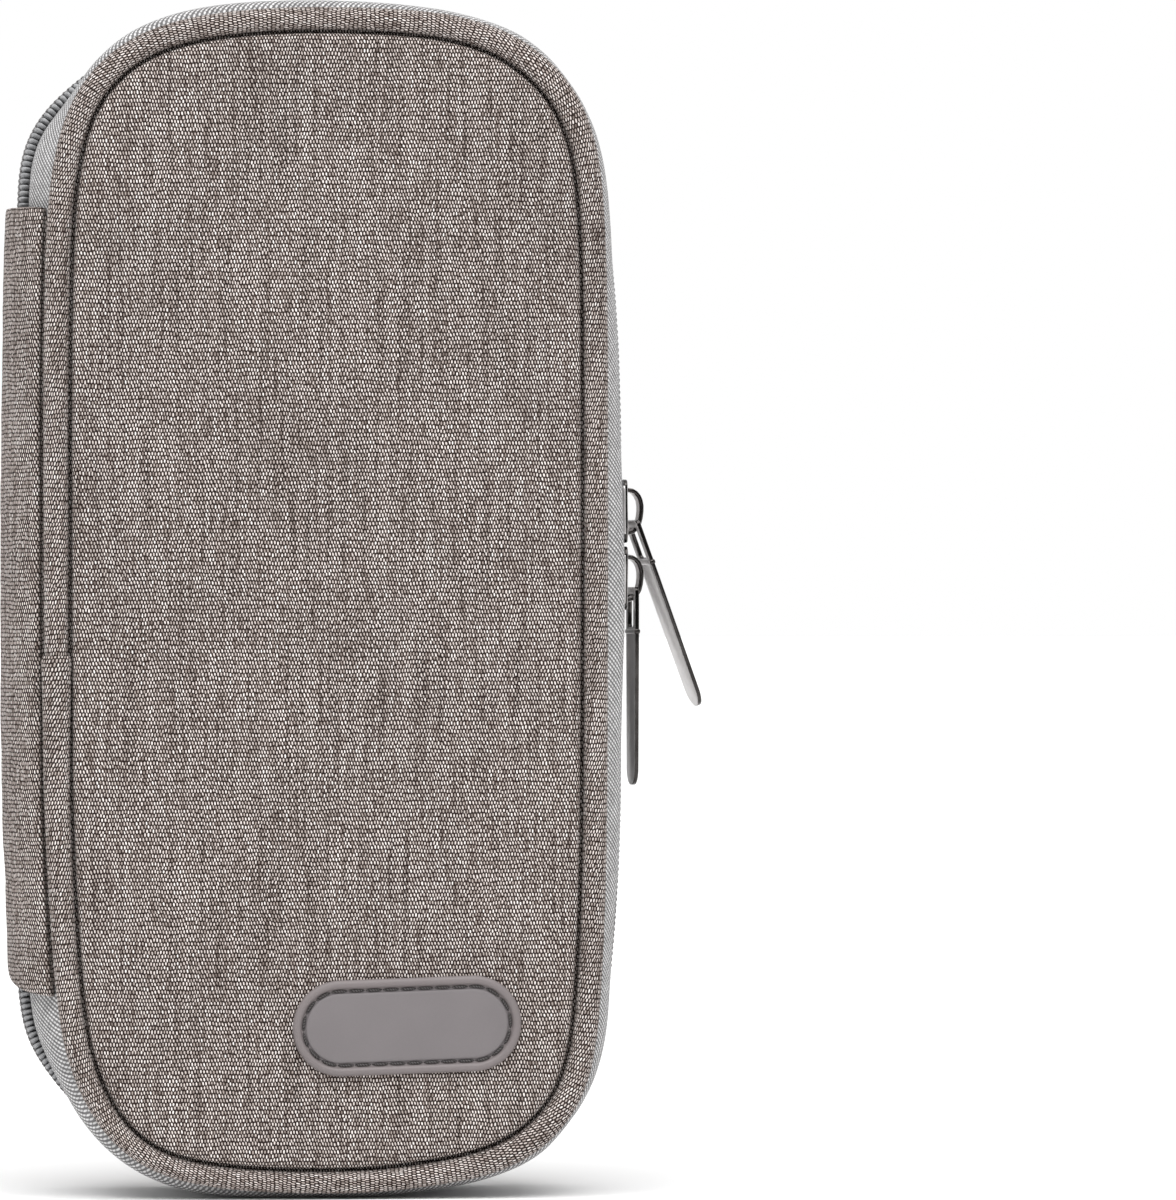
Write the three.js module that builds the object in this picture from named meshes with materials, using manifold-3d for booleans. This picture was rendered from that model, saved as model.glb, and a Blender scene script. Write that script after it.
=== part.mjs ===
// Zippered, insulated soft case for insulin pens, closed and standing on its
// lower end. Millimetres, +Z up, +X to the right as seen from the front,
// +Y from the front panel to the back panel. The zip's parting plane is y = 0.
import * as THREE from 'three';
import { mergeVertices } from 'three/addons/utils/BufferGeometryUtils.js';
import Module from 'manifold-3d';

const wasm = await Module();
wasm.setup();

// ---------------------------------------------------------------- dimensions
const HEIGHT = 200;            // overall height
const FLAT_CUT = 0.55;         // how much the crowned lower end is pressed flat by standing
const PIPE_HALF_W = 46.95;     // half width over the piping
const PIPE_R = 2.4;            // piping radius
const PIPE_Y = 18.6;           // piping centre from the parting plane
const MID_HALF_W = 51.0;       // half width over the zip chain
const END_R = 138;             // crown radius of the two short ends
const CORNER_R = 27.5;         // corner radius over the piping
const ZIP_STRAIGHT = 42;       // half length of the straight stretch of zip on each long side
const PANEL_Y = [19.5, 20.5];  // outer fabric panel
const FOAM_Y = [16.45, 19.2];  // insulating foam
const FLOOR_Y = [15.6, 16.1];  // foil floor lining
const PANEL_INSET = 2 * PIPE_R + 0.35;
const TAPE_Y = [15.9, 3.7];    // zip tape wall: from the piping seam to the chain
const TAPE_T = 1.2;
const CHAIN_Y = [0.45, 3.3];   // each half of the zip chain
const CHAIN_T = 2.2;
const SPINE_Z = [36.4, 165.0]; // spine panel, lower and upper end
const TAPE_END_Z = [35.9, 165.5];
const SPINE_OUT = 53.0;        // spine panel's outermost x
const SPINE_HALF = 17.3;       // half chord of the spine
const HINGE_X = -47.0;         // fold lines of the spine
const HINGE_Y = 18.0;
const PACK_Y = [9.45, 15.25];  // gel pack
const PACK_HALF_W = 33;
const PACK_Z = [12, 184];
const POCKET_Y = [8.6, 9.1];   // foil pocket sheet over the gel pack
const POCKET_TOP = 156;        // mouth of the foil pocket
const MESH_Y = 3.2;            // front of the mesh pocket
const MESH_TOP = { front: 90, back: 92 };
const ELASTIC_H = 10;
const STRAP_Z = [112, 137];    // pen loop strap
const LOOP_X = 15.5;           // pen loop centres
const LOOP_R = 10.2;
const LOOP_RISE = 10.4;
const BADGE = { x: 13.1, z: 29.1, w: 36.4, h: 16.4, t: 1.5, tilt: 1.2 };
const SLIDER = { len: 10.7, wide: 8.4, narrow: 6.8, upZ: 115.0, lowZ: 103.7 };
const PLATE_OUT = [51.25, 51.75];
const PLATE_IN = [47.7, 48.5];
const BAIL_T = 2.0;
const PULL = { len: 33, width: 6.7, tip: 6.0, t: 1.0, window: [0.75, 6.3], winHalf: 2.0, bar: 0.5 };
const PIVOT = { x: 53.1, dz: -2.0 };
const UP_PULL = { lean: 20.5, twist: 12 };
const LOW_PULL = { lean: 0, twist: 8 };
const CENTRE_SHIFT = -5.93;    // puts the middle of the whole outline over the origin

// ----------------------------------------------------------------- materials
const mat = (color, roughness, metalness = 0) => () => new THREE.MeshStandardMaterial({ color, roughness, metalness });
const FABRIC = mat(0x80776f, 0.9);
const TAPE = mat(0xa2a5a7, 0.85);
const COIL = mat(0x74777a, 0.55);
const FOIL = mat(0xc3c6c9, 0.3, 0.85);
const FOAM = mat(0xe9e8e3, 0.95);
const MESH = mat(0x6f7276, 0.8);
const ELASTIC = mat(0xd3d4d6, 0.85);
const GEL = mat(0x1f62c8, 0.35);
const RUBBER = mat(0x807878, 0.6);
const METAL = mat(0xa9a5a1, 0.22, 1.0);

// ------------------------------------------------------------------- outlines
// A rounded outline in the XZ plane: slightly bowed long sides, round corners and
// crowned ends, sampled densely from the middle of the left side downwards and round.
function denseOutline({ hw, zTop, zBot, rEnd, rCorner, rSide, straight = 0 }) {
  const zc = (zTop + zBot) / 2, hh = (zTop - zBot) / 2;
  const sideC = [hw - rSide, straight], endC = [0, hh - rEnd];
  const a = rSide - rCorner, b = rEnd - rCorner;
  const dx = endC[0] - sideC[0], dz = endC[1] - sideC[1], d = Math.hypot(dx, dz);
  const along = (a * a - b * b + d * d) / (2 * d), h = Math.sqrt(a * a - along * along);
  const mid = [sideC[0] + (dx * along) / d, sideC[1] + (dz * along) / d];
  const options = [[mid[0] - (dz * h) / d, mid[1] + (dx * h) / d], [mid[0] + (dz * h) / d, mid[1] - (dx * h) / d]];
  const c = options[0][0] + options[0][1] > options[1][0] + options[1][1] ? options[0] : options[1];
  const t1 = Math.atan2(c[1] - sideC[1], c[0] - sideC[0]);
  const t2 = Math.atan2(c[1] - endC[1], c[0] - endC[0]);
  const quad = [[hw, 0]];
  const arc = (o, r, from, to, n) => {
    for (let i = 0; i <= n; i++) {
      const t = from + ((to - from) * i) / n;
      quad.push([o[0] + r * Math.cos(t), o[1] + r * Math.sin(t)]);
    }
  };
  if (straight > 0) for (let i = 1; i < 12; i++) quad.push([hw, (straight * i) / 12]);
  arc(sideC, rSide, 0, t1, 16);
  arc(c, rCorner, t1, t2, 30);
  arc(endC, rEnd, t2, Math.PI / 2, 20);
  const rightTop = quad, leftTop = quad.map(([x, z]) => [-x, z]).reverse();
  const leftBot = quad.map(([x, z]) => [-x, -z]), rightBot = quad.map(([x, z]) => [x, -z]).reverse();
  const all = [...leftBot, ...rightBot, ...rightTop, ...leftTop];
  const out = [];
  for (const [x, z] of all) {
    const p = [x, Math.max(z + zc, 0)];
    const q = out[out.length - 1];
    if (!q || Math.hypot(p[0] - q[0], p[1] - q[1]) > 1e-4) out.push(p);
  }
  return out;
}

// Points spread along a polyline by length and by turning, so that corners get more.
function resample(line, n, closed) {
  const pts = closed ? [...line, line[0]] : line;
  const w = [0];
  for (let i = 1; i < pts.length; i++) {
    const p = pts[i - 1], q = pts[i], r = pts[Math.min(i + 1, pts.length - 1)];
    const a1 = Math.atan2(q[1] - p[1], q[0] - p[0]), a2 = i + 1 < pts.length ? Math.atan2(r[1] - q[1], r[0] - q[0]) : a1;
    const turn = Math.abs(Math.atan2(Math.sin(a2 - a1), Math.cos(a2 - a1)));
    w.push(w[i - 1] + Math.hypot(q[0] - p[0], q[1] - p[1]) / 13 + turn / 0.3);
  }
  const total = w[w.length - 1], out = [], m = closed ? n : n - 1;
  let k = 1;
  for (let i = 0; i < n; i++) {
    const t = (total * i) / m;
    while (k < w.length - 1 && w[k] < t) k++;
    const f = (t - w[k - 1]) / Math.max(w[k] - w[k - 1], 1e-9);
    out.push([pts[k - 1][0] + f * (pts[k][0] - pts[k - 1][0]), pts[k - 1][1] + f * (pts[k][1] - pts[k - 1][1])]);
  }
  return out;
}

// The stretch of an outline that starts on the left at z = low, runs round the lower end,
// the right side and the upper end, and stops on the left at z = high.
function openRun(dense, low, high) {
  const n = dense.length;
  const cut = (z, i) => {
    const p = dense[i], q = dense[(i + 1) % n], f = (z - p[1]) / (q[1] - p[1]);
    return [p[0] + f * (q[0] - p[0]), z];
  };
  let i0 = 0;
  while (!(dense[i0][1] >= low && dense[i0 + 1][1] < low)) i0++;
  let i1 = n - 2;
  while (!(dense[i1][1] >= high && dense[(i1 + 1) % n][1] < high)) i1--;
  return [cut(low, i0), ...dense.slice(i0 + 1, i1 + 1), cut(high, i1)];
}

function normals(line, closed) {
  const n = line.length;
  return line.map((_, i) => {
    const p = line[closed ? (i + n - 1) % n : Math.max(i - 1, 0)], q = line[closed ? (i + 1) % n : Math.min(i + 1, n - 1)];
    const l = Math.hypot(q[0] - p[0], q[1] - p[1]);
    return [(q[1] - p[1]) / l, -(q[0] - p[0]) / l];
  });
}

const pipeShape = (inset) => ({
  hw: PIPE_HALF_W - inset, zTop: HEIGHT - inset, zBot: -FLAT_CUT + inset,
  rEnd: END_R - inset, rCorner: CORNER_R - inset, rSide: 6000 - inset,
});
const midShape = (inset) => ({
  hw: MID_HALF_W - inset, zTop: HEIGHT - 0.1 - inset, zBot: -FLAT_CUT + 0.75 + inset,
  rEnd: END_R - inset, rCorner: CORNER_R + 2 - inset, rSide: 190 - inset, straight: ZIP_STRAIGHT,
});
// Half width of the space inside the wall at a height.
function halfWidth(z, inset) {
  const line = denseOutline(pipeShape(inset));
  let best = 0;
  for (let i = 0; i < line.length; i++) {
    const p = line[i], q = line[(i + 1) % line.length];
    if (p[0] > 0 && q[0] > 0 && (p[1] - z) * (q[1] - z) <= 0 && p[1] !== q[1]) {
      const f = (z - p[1]) / (q[1] - p[1]);
      best = Math.max(best, p[0] + f * (q[0] - p[0]));
    }
  }
  return best;
}

// --------------------------------------------------------------------- solids
function solid(points, faces) {
  const g = new THREE.BufferGeometry();
  g.setAttribute('position', new THREE.Float32BufferAttribute(points.flat(), 3));
  let volume = 0;
  for (const [a, b, c] of faces) {
    const p = points[a], q = points[b], r = points[c];
    volume += p[0] * (q[1] * r[2] - q[2] * r[1]) + p[1] * (q[2] * r[0] - q[0] * r[2]) + p[2] * (q[0] * r[1] - q[1] * r[0]);
  }
  g.setIndex(faces.flatMap(([a, b, c]) => (volume < 0 ? [a, c, b] : [a, b, c])));
  return g;
}

// A sheet with thickness between two grids of points.
function slab(front, back) {
  const m = front.length, k = front[0].length, pts = [], faces = [];
  const id = (s, i, j) => s * m * k + i * k + j;
  for (const grid of [front, back]) for (const row of grid) for (const p of row) pts.push(p);
  const quad = (a, b, c, d) => faces.push([a, b, c], [a, c, d]);
  for (let i = 0; i + 1 < m; i++)
    for (let j = 0; j + 1 < k; j++) {
      quad(id(0, i, j), id(0, i + 1, j), id(0, i + 1, j + 1), id(0, i, j + 1));
      quad(id(1, i, j), id(1, i, j + 1), id(1, i + 1, j + 1), id(1, i + 1, j));
    }
  for (let i = 0; i + 1 < m; i++) {
    quad(id(0, i, 0), id(1, i, 0), id(1, i + 1, 0), id(0, i + 1, 0));
    quad(id(0, i, k - 1), id(0, i + 1, k - 1), id(1, i + 1, k - 1), id(1, i, k - 1));
  }
  for (let j = 0; j + 1 < k; j++) {
    quad(id(0, 0, j), id(0, 0, j + 1), id(1, 0, j + 1), id(1, 0, j));
    quad(id(0, m - 1, j), id(1, m - 1, j), id(1, m - 1, j + 1), id(0, m - 1, j + 1));
  }
  return solid(pts, faces);
}

// A closed ring of sections.
function ring(rows) {
  const m = rows.length, k = rows[0].length, faces = [];
  for (let i = 0; i < m; i++)
    for (let j = 0; j < k; j++) {
      const a = i * k + j, b = ((i + 1) % m) * k + j, c = ((i + 1) % m) * k + ((j + 1) % k), d = i * k + ((j + 1) % k);
      faces.push([a, b, c], [a, c, d]);
    }
  return solid(rows.flat(), faces);
}

// Stacked convex outlines, closed with a fan at each end.
function stack(rows) {
  const m = rows.length, k = rows[0].length, pts = rows.flat(), faces = [];
  for (let i = 0; i + 1 < m; i++)
    for (let j = 0; j < k; j++) {
      const a = i * k + j, b = a + k, c = (i + 1) * k + ((j + 1) % k), d = i * k + ((j + 1) % k);
      faces.push([a, b, c], [a, c, d]);
    }
  const middle = (row) => row.reduce((s, p) => s.map((v, i) => v + p[i] / k), [0, 0, 0]);
  pts.push(middle(rows[0]), middle(rows[m - 1]));
  for (let j = 0; j < k; j++) {
    faces.push([m * k, j, (j + 1) % k]);
    faces.push([m * k + 1, (m - 1) * k + ((j + 1) % k), (m - 1) * k + j]);
  }
  return solid(pts, faces);
}

// A flat plate from an outline in XZ, between two depths.
function plate(outline, y0, y1) {
  const g = new THREE.ExtrudeGeometry(new THREE.Shape(outline.map(([x, z]) => new THREE.Vector2(x, z))), { depth: y1 - y0, bevelEnabled: false });
  g.rotateX(Math.PI / 2);
  g.translate(0, y1, 0);
  return g;
}

// An outline in YZ given as thickness along X.
function sidePlate(outline, x0, x1) {
  const g = new THREE.ExtrudeGeometry(new THREE.Shape(outline.map(([y, z]) => new THREE.Vector2(y, z))), { depth: x1 - x0, bevelEnabled: false });
  g.applyMatrix4(new THREE.Matrix4().set(0, 0, 1, x0, 1, 0, 0, 0, 0, 1, 0, 0, 0, 0, 0, 1));
  return g;
}

function toManifold(geometry) {
  let g = geometry.clone();
  g.deleteAttribute('normal');
  g.deleteAttribute('uv');
  g = mergeVertices(g, 1e-4);
  return new wasm.Manifold(new wasm.Mesh({
    numProp: 3, vertProperties: new Float32Array(g.attributes.position.array), triVerts: new Uint32Array(g.index.array),
  }));
}
function fromManifold(m) {
  const mesh = m.getMesh(), g = new THREE.BufferGeometry();
  const p = new Float32Array((mesh.vertProperties.length / mesh.numProp) * 3);
  for (let i = 0; i < p.length / 3; i++) for (let j = 0; j < 3; j++) p[3 * i + j] = mesh.vertProperties[mesh.numProp * i + j];
  g.setAttribute('position', new THREE.BufferAttribute(p, 3));
  g.setIndex(Array.from(mesh.triVerts));
  return g;
}

// ------------------------------------------------------------------- assembly
const group = new THREE.Group();
group.position.x = CENTRE_SHIFT;
function add(name, geometry, material, parent = group) {
  const mesh = new THREE.Mesh(geometry, material());
  mesh.name = name;
  parent.add(mesh);
  return mesh;
}

const RING_N = 64, RUN_N = 50;

// Everything in one half of the case. s is +1 for the back half and -1 for the front half.
function half(side, s) {
  const ys = (a, b) => (s > 0 ? [a, b] : [-b, -a]);
  const flat = (inset, n = RING_N) => resample(denseOutline(pipeShape(inset)), n, true);

  add(`${side}_panel`, plate(flat(PANEL_INSET), ...ys(...PANEL_Y)), FABRIC);
  add(`${side}_foam`, plate(flat(PANEL_INSET), ...ys(...FOAM_Y)), FOAM);
  add(`${side}_floor_lining`, plate(flat(2.5), ...ys(...FLOOR_Y)), FOIL);

  // Piping: an eight-sided roll round the panel, flat on its outermost side.
  const mid = flat(PIPE_R), mn = normals(mid, true);
  const vr = PIPE_R / Math.cos(Math.PI / 8);
  add(`${side}_piping`, ring(mid.map(([x, z], i) => {
    const row = [];
    for (let j = 0; j < 8; j++) {
      const t = Math.PI / 8 + (j * Math.PI) / 4;
      row.push([x + mn[i][0] * vr * Math.cos(t), s * (PIPE_Y + vr * Math.sin(t)), Math.max(z + mn[i][1] * vr * Math.cos(t), 0)]);
    }
    return row;
  })), FABRIC);

  // Zip tape wall, bulging from the piping seam out to the zip.
  const low = resample(openRun(denseOutline(pipeShape(0.6)), ...TAPE_END_Z), RUN_N, false);
  const high = resample(openRun(denseOutline(midShape(0.1)), ...TAPE_END_Z), RUN_N, false);
  const wall = (i, t, inset) => {
    const f = Math.sin((t * Math.PI) / 2), x = low[i][0] + f * (high[i][0] - low[i][0]), z = low[i][1] + f * (high[i][1] - low[i][1]);
    const n = wallNormal[i];
    return [x - n[0] * inset, s * (TAPE_Y[0] + t * (TAPE_Y[1] - TAPE_Y[0])), z - n[1] * inset];
  };
  const wallNormal = normals(high, false);
  const rows = (ts, inset) => low.map((_, i) => ts.map((t) => wall(i, t, inset)));
  add(`${side}_zip_tape`, slab(rows([0, 0.5, 1], 0), rows([0, 0.5, 1], TAPE_T)), TAPE);
  add(`${side}_wall_lining`, slab(rows([0.06, 0.5, 0.88], TAPE_T + 0.3), rows([0.06, 0.5, 0.88], TAPE_T + 0.8)), FOIL);

  // Zip chain along the edge of the tape.
  const line = resample(openRun(denseOutline(midShape(0)), ...TAPE_END_Z), RUN_N, false), ln = normals(line, false);
  const chain = (inset) => line.map(([x, z], i) => CHAIN_Y.map((y) => [x - ln[i][0] * inset, s * y, z - ln[i][1] * inset]));
  add(`${side}_zip_chain`, slab(chain(0), chain(CHAIN_T)), COIL);

  // Foil pocket sheet, sewn in along both sides and the lower end, open at its mouth.
  add(`${side}_foil_pocket`, plate(pocketOutline(POCKET_TOP), ...ys(...POCKET_Y)), FOIL);

  // Gel pack: a flat pouch with round ends.
  const pouch = (inset) => {
    const r = PACK_HALF_W - inset, out = [];
    for (let i = 0; i <= 9; i++) out.push([-r * Math.cos((Math.PI * i) / 9), PACK_Z[0] + PACK_HALF_W - r * 0.86 * Math.sin((Math.PI * i) / 9) - 4]);
    for (let i = 0; i <= 9; i++) out.push([r * Math.cos((Math.PI * i) / 9), PACK_Z[1] - PACK_HALF_W + r * Math.sin((Math.PI * i) / 9)]);
    return out;
  };
  const level = (inset, y) => pouch(inset).map(([x, z]) => [x, s * y, z]);
  const ym = (PACK_Y[0] + PACK_Y[1]) / 2;
  add(`${side}_gel_pack`, stack([level(5, PACK_Y[0]), level(0, ym - 0.9), level(0, ym + 0.9), level(5, PACK_Y[1])]), GEL);

  // Mesh pocket: sewn down at its sides and lower end, standing off at its mouth.
  const section = (z, rise, t) => {
    const hw = halfWidth(z, 4.2), y0 = POCKET_Y[0] - 0.35, y1 = y0 - rise;
    const f = Math.min(1, hw / 40), sh = 7 * f;
    const front = [[-hw, y0 - t], [-hw + sh, y1 - t * 0.2 - 0.4], [0, y1 - 0.4], [hw - sh, y1 - t * 0.2 - 0.4], [hw, y0 - t]];
    const back = [[-hw, y0], [-hw + sh + 0.4, y1 + t - 0.4], [0, y1 + t - 0.4], [hw - sh - 0.4, y1 + t - 0.4], [hw, y0]];
    return [front, back].map((l) => l.map(([x, y]) => [x, s * y, z]));
  };
  const top = MESH_TOP[side], rise = POCKET_Y[0] - 0.35 - MESH_Y - 0.4;
  const bag = [[7, 0.15], [13, 0.5], [22, 0.85], [40, 1], [top, 1]].map(([z, f]) => section(z, rise * f + 0.35, 0.6));
  add(`${side}_mesh_pocket`, slab(bag.map((r) => r[0]), bag.map((r) => r[1])), MESH);
  const band = [top + 0.3, top + ELASTIC_H].map((z) => section(z, rise + 0.35, 1.0));
  add(`${side}_mesh_elastic`, slab(band.map((r) => r[0]), band.map((r) => r[1])), ELASTIC);
}

// Outline of the foil pocket sheet: the bed's outline cut off straight at the mouth.
function pocketOutline(topZ) {
  const run = [];
  for (let i = 0; i <= 40; i++) {
    const z = 4.2 + ((topZ - 4.2) * i) / 40;
    run.push([halfWidth(z, 3.6), z]);
  }
  const keep = run.filter((_, i) => i < 12 || i % 7 === 5 || i === 40);
  return [...keep.map(([x, z]) => [-x, z]).reverse(), ...keep];
}

half('back', 1);
half('front', -1);

// Elastic strap with two arched pen loops, sewn to the foil pocket of the back half.
{
  const t = 0.9, yBase = POCKET_Y[0] - 0.3;
  const rise = (x) => {
    let r = 0;
    for (const c of [-LOOP_X, LOOP_X]) {
      const u = Math.abs(x - c) / (LOOP_R + 1.6);
      if (u < 1) r = Math.pow(Math.cos((u * Math.PI) / 2), 0.75);
    }
    return r;
  };
  const xs = [-36, -29.5];
  for (const c of [-LOOP_X, LOOP_X]) for (let i = 0; i <= 12; i++) xs.push(c + (LOOP_R + 1.6) * Math.sin(((i / 12) - 0.5) * Math.PI));
  xs.push(29.5, 36);
  xs.sort((a, b) => a - b);
  const front = [], back = [];
  for (let i = 0; i < xs.length; i++) {
    const e = 0.01, slope = ((rise(xs[i] + e) - rise(xs[i] - e)) * LOOP_RISE) / (2 * e);
    const sl = Math.max(-2.2, Math.min(2.2, slope)), l = Math.hypot(1, sl), y = yBase - rise(xs[i]) * LOOP_RISE;
    back.push([xs[i], y]);
    front.push([xs[i] + (-sl * t) / l * 1, y - t / l]);
  }
  // The strap runs along Z with the same section throughout.
  const grid = (l) => STRAP_Z.map((z) => l.map(([x, y]) => [x, y, z]));
  add('pen_loop_strap', slab(grid(front), grid(back)), ELASTIC);
}

// Spine: an arched strip of panel fabric and its foil lining, between the two fold lines.
{
  const sag = SPINE_OUT + HINGE_X - 0.2, r = (SPINE_HALF * SPINE_HALF + sag * sag) / (2 * sag), cx = -SPINE_OUT + r;
  const arc = (radius, halfChord, n) => {
    const a = Math.asin(halfChord / radius), out = [];
    for (let i = 0; i <= n; i++) {
      const t = a - (2 * a * i) / n;
      out.push([cx - radius * Math.cos(t), radius * Math.sin(t)]);
    }
    return out;
  };
  const grid = (l, zs) => zs.map((z) => l.map(([x, y]) => [x, y, z]));
  add('spine_panel', slab(grid(arc(r, SPINE_HALF, 12), SPINE_Z), grid(arc(r - 1.0, SPINE_HALF - 0.6, 12), SPINE_Z)), FABRIC);
  const zs = [SPINE_Z[0] + 0.8, SPINE_Z[1] - 0.8];
  add('spine_lining', slab(grid(arc(r - 1.3, 15.0, 12), zs), grid(arc(r - 1.8, 14.7, 12), zs)), FOIL);
}

// Moulded rubber badge with round ends, sewn to the front panel.
{
  const R = BADGE.h / 2, c = BADGE.w / 2 - R, tilt = THREE.MathUtils.degToRad(BADGE.tilt);
  const stadium = (inset, y) => {
    const out = [];
    for (let i = 0; i < 24; i++) {
      const t = -Math.PI / 2 + (2 * Math.PI * (i + 0.5)) / 24;
      const x = Math.cos(t) * (R - inset) + (i < 12 ? c : -c), z = Math.sin(t) * (R - inset);
      out.push([BADGE.x + x * Math.cos(tilt) - z * Math.sin(tilt), y, BADGE.z + x * Math.sin(tilt) + z * Math.cos(tilt)]);
    }
    return out;
  };
  const y = -PANEL_Y[1] - 0.3;
  add('badge', stack([stadium(0, y), stadium(0, y - BADGE.t + 0.5), stadium(0.5, y - BADGE.t)]), RUBBER);
}

// Zip sliders: two plates joined by a thin post between the two chains, a loop on the
// outer plate, and a long pull that hangs in the loop.
function slider(name, zc, up, pull) {
  const L = SLIDER.len / 2, w = SLIDER.wide / 2, n = SLIDER.narrow / 2, d = up ? -1 : 1; // wide end faces the other slider
  const outline = [[-w, L * 0.35], [-w, L * 0.8], [-w + 1.0, L], [w - 1.0, L], [w, L * 0.8], [w, L * 0.35], [n, -L * 0.5], [n, -L * 0.85], [n - 0.9, -L], [-n + 0.9, -L], [-n, -L * 0.85], [-n, -L * 0.5]]
    .map(([y, z]) => [y, zc + d * z]);
  if (d > 0) outline.reverse();
  const post = [[-0.25, L * 0.25], [-0.25, L * 0.95], [0.25, L * 0.95], [0.25, L * 0.25]].map(([y, z]) => [y, zc + d * z]);
  if (d > 0) post.reverse();
  const body = toManifold(sidePlate(outline, ...PLATE_OUT)).add(toManifold(sidePlate(outline, ...PLATE_IN))).add(toManifold(sidePlate(post, PLATE_IN[1] - 0.1, PLATE_OUT[0] + 0.1)));
  add(`${name}_slider_body`, fromManifold(body), METAL);

  const arch = [[-4.1, 0], [-4.1, 1.2], [-3.3, 2.5], [-2.0, 3.15], [2.0, 3.15], [3.3, 2.5], [4.1, 1.2], [4.1, 0], [3.15, 0], [3.15, 0.9], [2.6, 1.75], [1.6, 2.25], [-1.6, 2.25], [-2.6, 1.75], [-3.15, 0.9], [-3.15, 0]];
  add(`${name}_slider_bail`, plate(arch.map(([z, x]) => [PLATE_OUT[1] + 0.1 + x, zc + z]), -BAIL_T / 2, BAIL_T / 2), METAL);

  // Pull: a crossbar inside the loop, two side bars round the window, and a solid tab with a round end.
  const hub = new THREE.Group();
  hub.position.set(PIVOT.x, 0, zc + PIVOT.dz);
  hub.rotation.set(0, THREE.MathUtils.degToRad(-pull.lean), THREE.MathUtils.degToRad(pull.twist), 'ZYX');
  group.add(hub);
  const hw = PULL.width / 2, ht = PULL.tip / 2, end = PULL.len, tab = [];
  tab.push([-hw, -PULL.window[0] + 1.1], [-hw, -10], [-ht, -end + ht]);
  for (let i = 1; i < 8; i++) tab.push([-ht * Math.cos((Math.PI * i) / 8), -end + ht - ht * Math.sin((Math.PI * i) / 8)]);
  tab.push([ht, -end + ht], [hw, -10], [hw, -PULL.window[0] + 1.1]);
  const open = [[-PULL.winHalf, 2], [-PULL.winHalf, -PULL.window[1]], [PULL.winHalf, -PULL.window[1]], [PULL.winHalf, 2]];
  const bar = new THREE.CylinderGeometry(PULL.bar, PULL.bar, 2 * hw - 1.2, 8);
  const shape = toManifold(sidePlate(tab, -PULL.t / 2, PULL.t / 2))
    .subtract(toManifold(sidePlate(open, -PULL.t, PULL.t)))
    .add(toManifold(bar));
  add(`${name}_pull`, fromManifold(shape), METAL, hub);
}
slider('upper', SLIDER.upZ, true, UP_PULL);
slider('lower', SLIDER.lowZ, false, LOW_PULL);

export default group;
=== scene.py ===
import math

import bmesh
import bpy
import numpy as np
from mathutils import Matrix, Vector, noise
from mathutils.bvhtree import BVHTree


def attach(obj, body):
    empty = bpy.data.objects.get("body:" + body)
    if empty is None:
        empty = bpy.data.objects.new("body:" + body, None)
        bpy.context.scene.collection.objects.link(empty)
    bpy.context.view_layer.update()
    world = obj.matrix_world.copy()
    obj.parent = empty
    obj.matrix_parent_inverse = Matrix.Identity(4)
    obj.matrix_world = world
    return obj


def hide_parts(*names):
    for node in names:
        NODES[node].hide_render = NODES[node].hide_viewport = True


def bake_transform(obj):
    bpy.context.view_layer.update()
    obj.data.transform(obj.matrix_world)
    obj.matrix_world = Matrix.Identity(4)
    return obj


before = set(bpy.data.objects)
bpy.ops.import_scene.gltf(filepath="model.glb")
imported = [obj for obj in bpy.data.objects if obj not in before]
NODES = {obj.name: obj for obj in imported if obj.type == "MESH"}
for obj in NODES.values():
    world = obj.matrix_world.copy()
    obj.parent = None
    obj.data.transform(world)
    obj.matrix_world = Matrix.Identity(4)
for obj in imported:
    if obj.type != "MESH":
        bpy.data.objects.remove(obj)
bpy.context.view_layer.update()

# The looks of a soft zippered case, closed and standing on its lower end.
# Everything is worked out in case millimetres (x = 0 in the middle of the panels,
# y = 0 in the zip's parting plane, z = 0 on the floor) and turned into frame metres at the end.

SHIFT = -5.93
TAU = 2 * math.pi


def to_frame(p):
    p = np.array(p, float)
    p[..., 0] += SHIFT
    return p / 1000.0


def frame_point(x, y, z):
    return Vector(((x + SHIFT) / 1000, y / 1000, z / 1000))


# ------------------------------------------------------------------ camera
AXIS = math.radians(-4.8)
cam_data = bpy.data.cameras.new("camera")
cam_data.lens = 287.3
cam_data.sensor_width = 36.0
cam_data.clip_start, cam_data.clip_end = 0.05, 60.0
camera = bpy.data.objects.new("camera", cam_data)
bpy.context.scene.collection.objects.link(camera)
aim = Vector((0.03792, -0.0200, 0.1000))
back = Vector((math.sin(AXIS), -math.cos(AXIS), 0.0))
camera.location = aim + back * 1.6
camera.rotation_mode = "QUATERNION"
camera.rotation_quaternion = (-back).to_track_quat("-Z", "Y")
bpy.context.scene.camera = camera


# ---------------------------------------------------------------- outlines
def line_length(line):
    return np.concatenate([[0], np.cumsum(np.hypot(*np.diff(line, axis=0).T))])


def line_normals(line, closed):
    """Outward normals of an outline that runs left, bottom, right, top."""
    if closed:
        d = np.roll(line, -1, 0) - np.roll(line, 1, 0)
    else:
        d = np.gradient(line, axis=0)
    d /= np.maximum(np.hypot(d[:, 0], d[:, 1]), 1e-9)[:, None]
    return np.stack([d[:, 1], -d[:, 0]], 1)


def smooth(a, b, x):
    t = np.clip((np.asarray(x, float) - a) / (b - a), 0, 1)
    return t * t * (3 - 2 * t)


def perlin(x, y, z=0.0):
    return noise.noise(Vector((x, y, z)))


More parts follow.
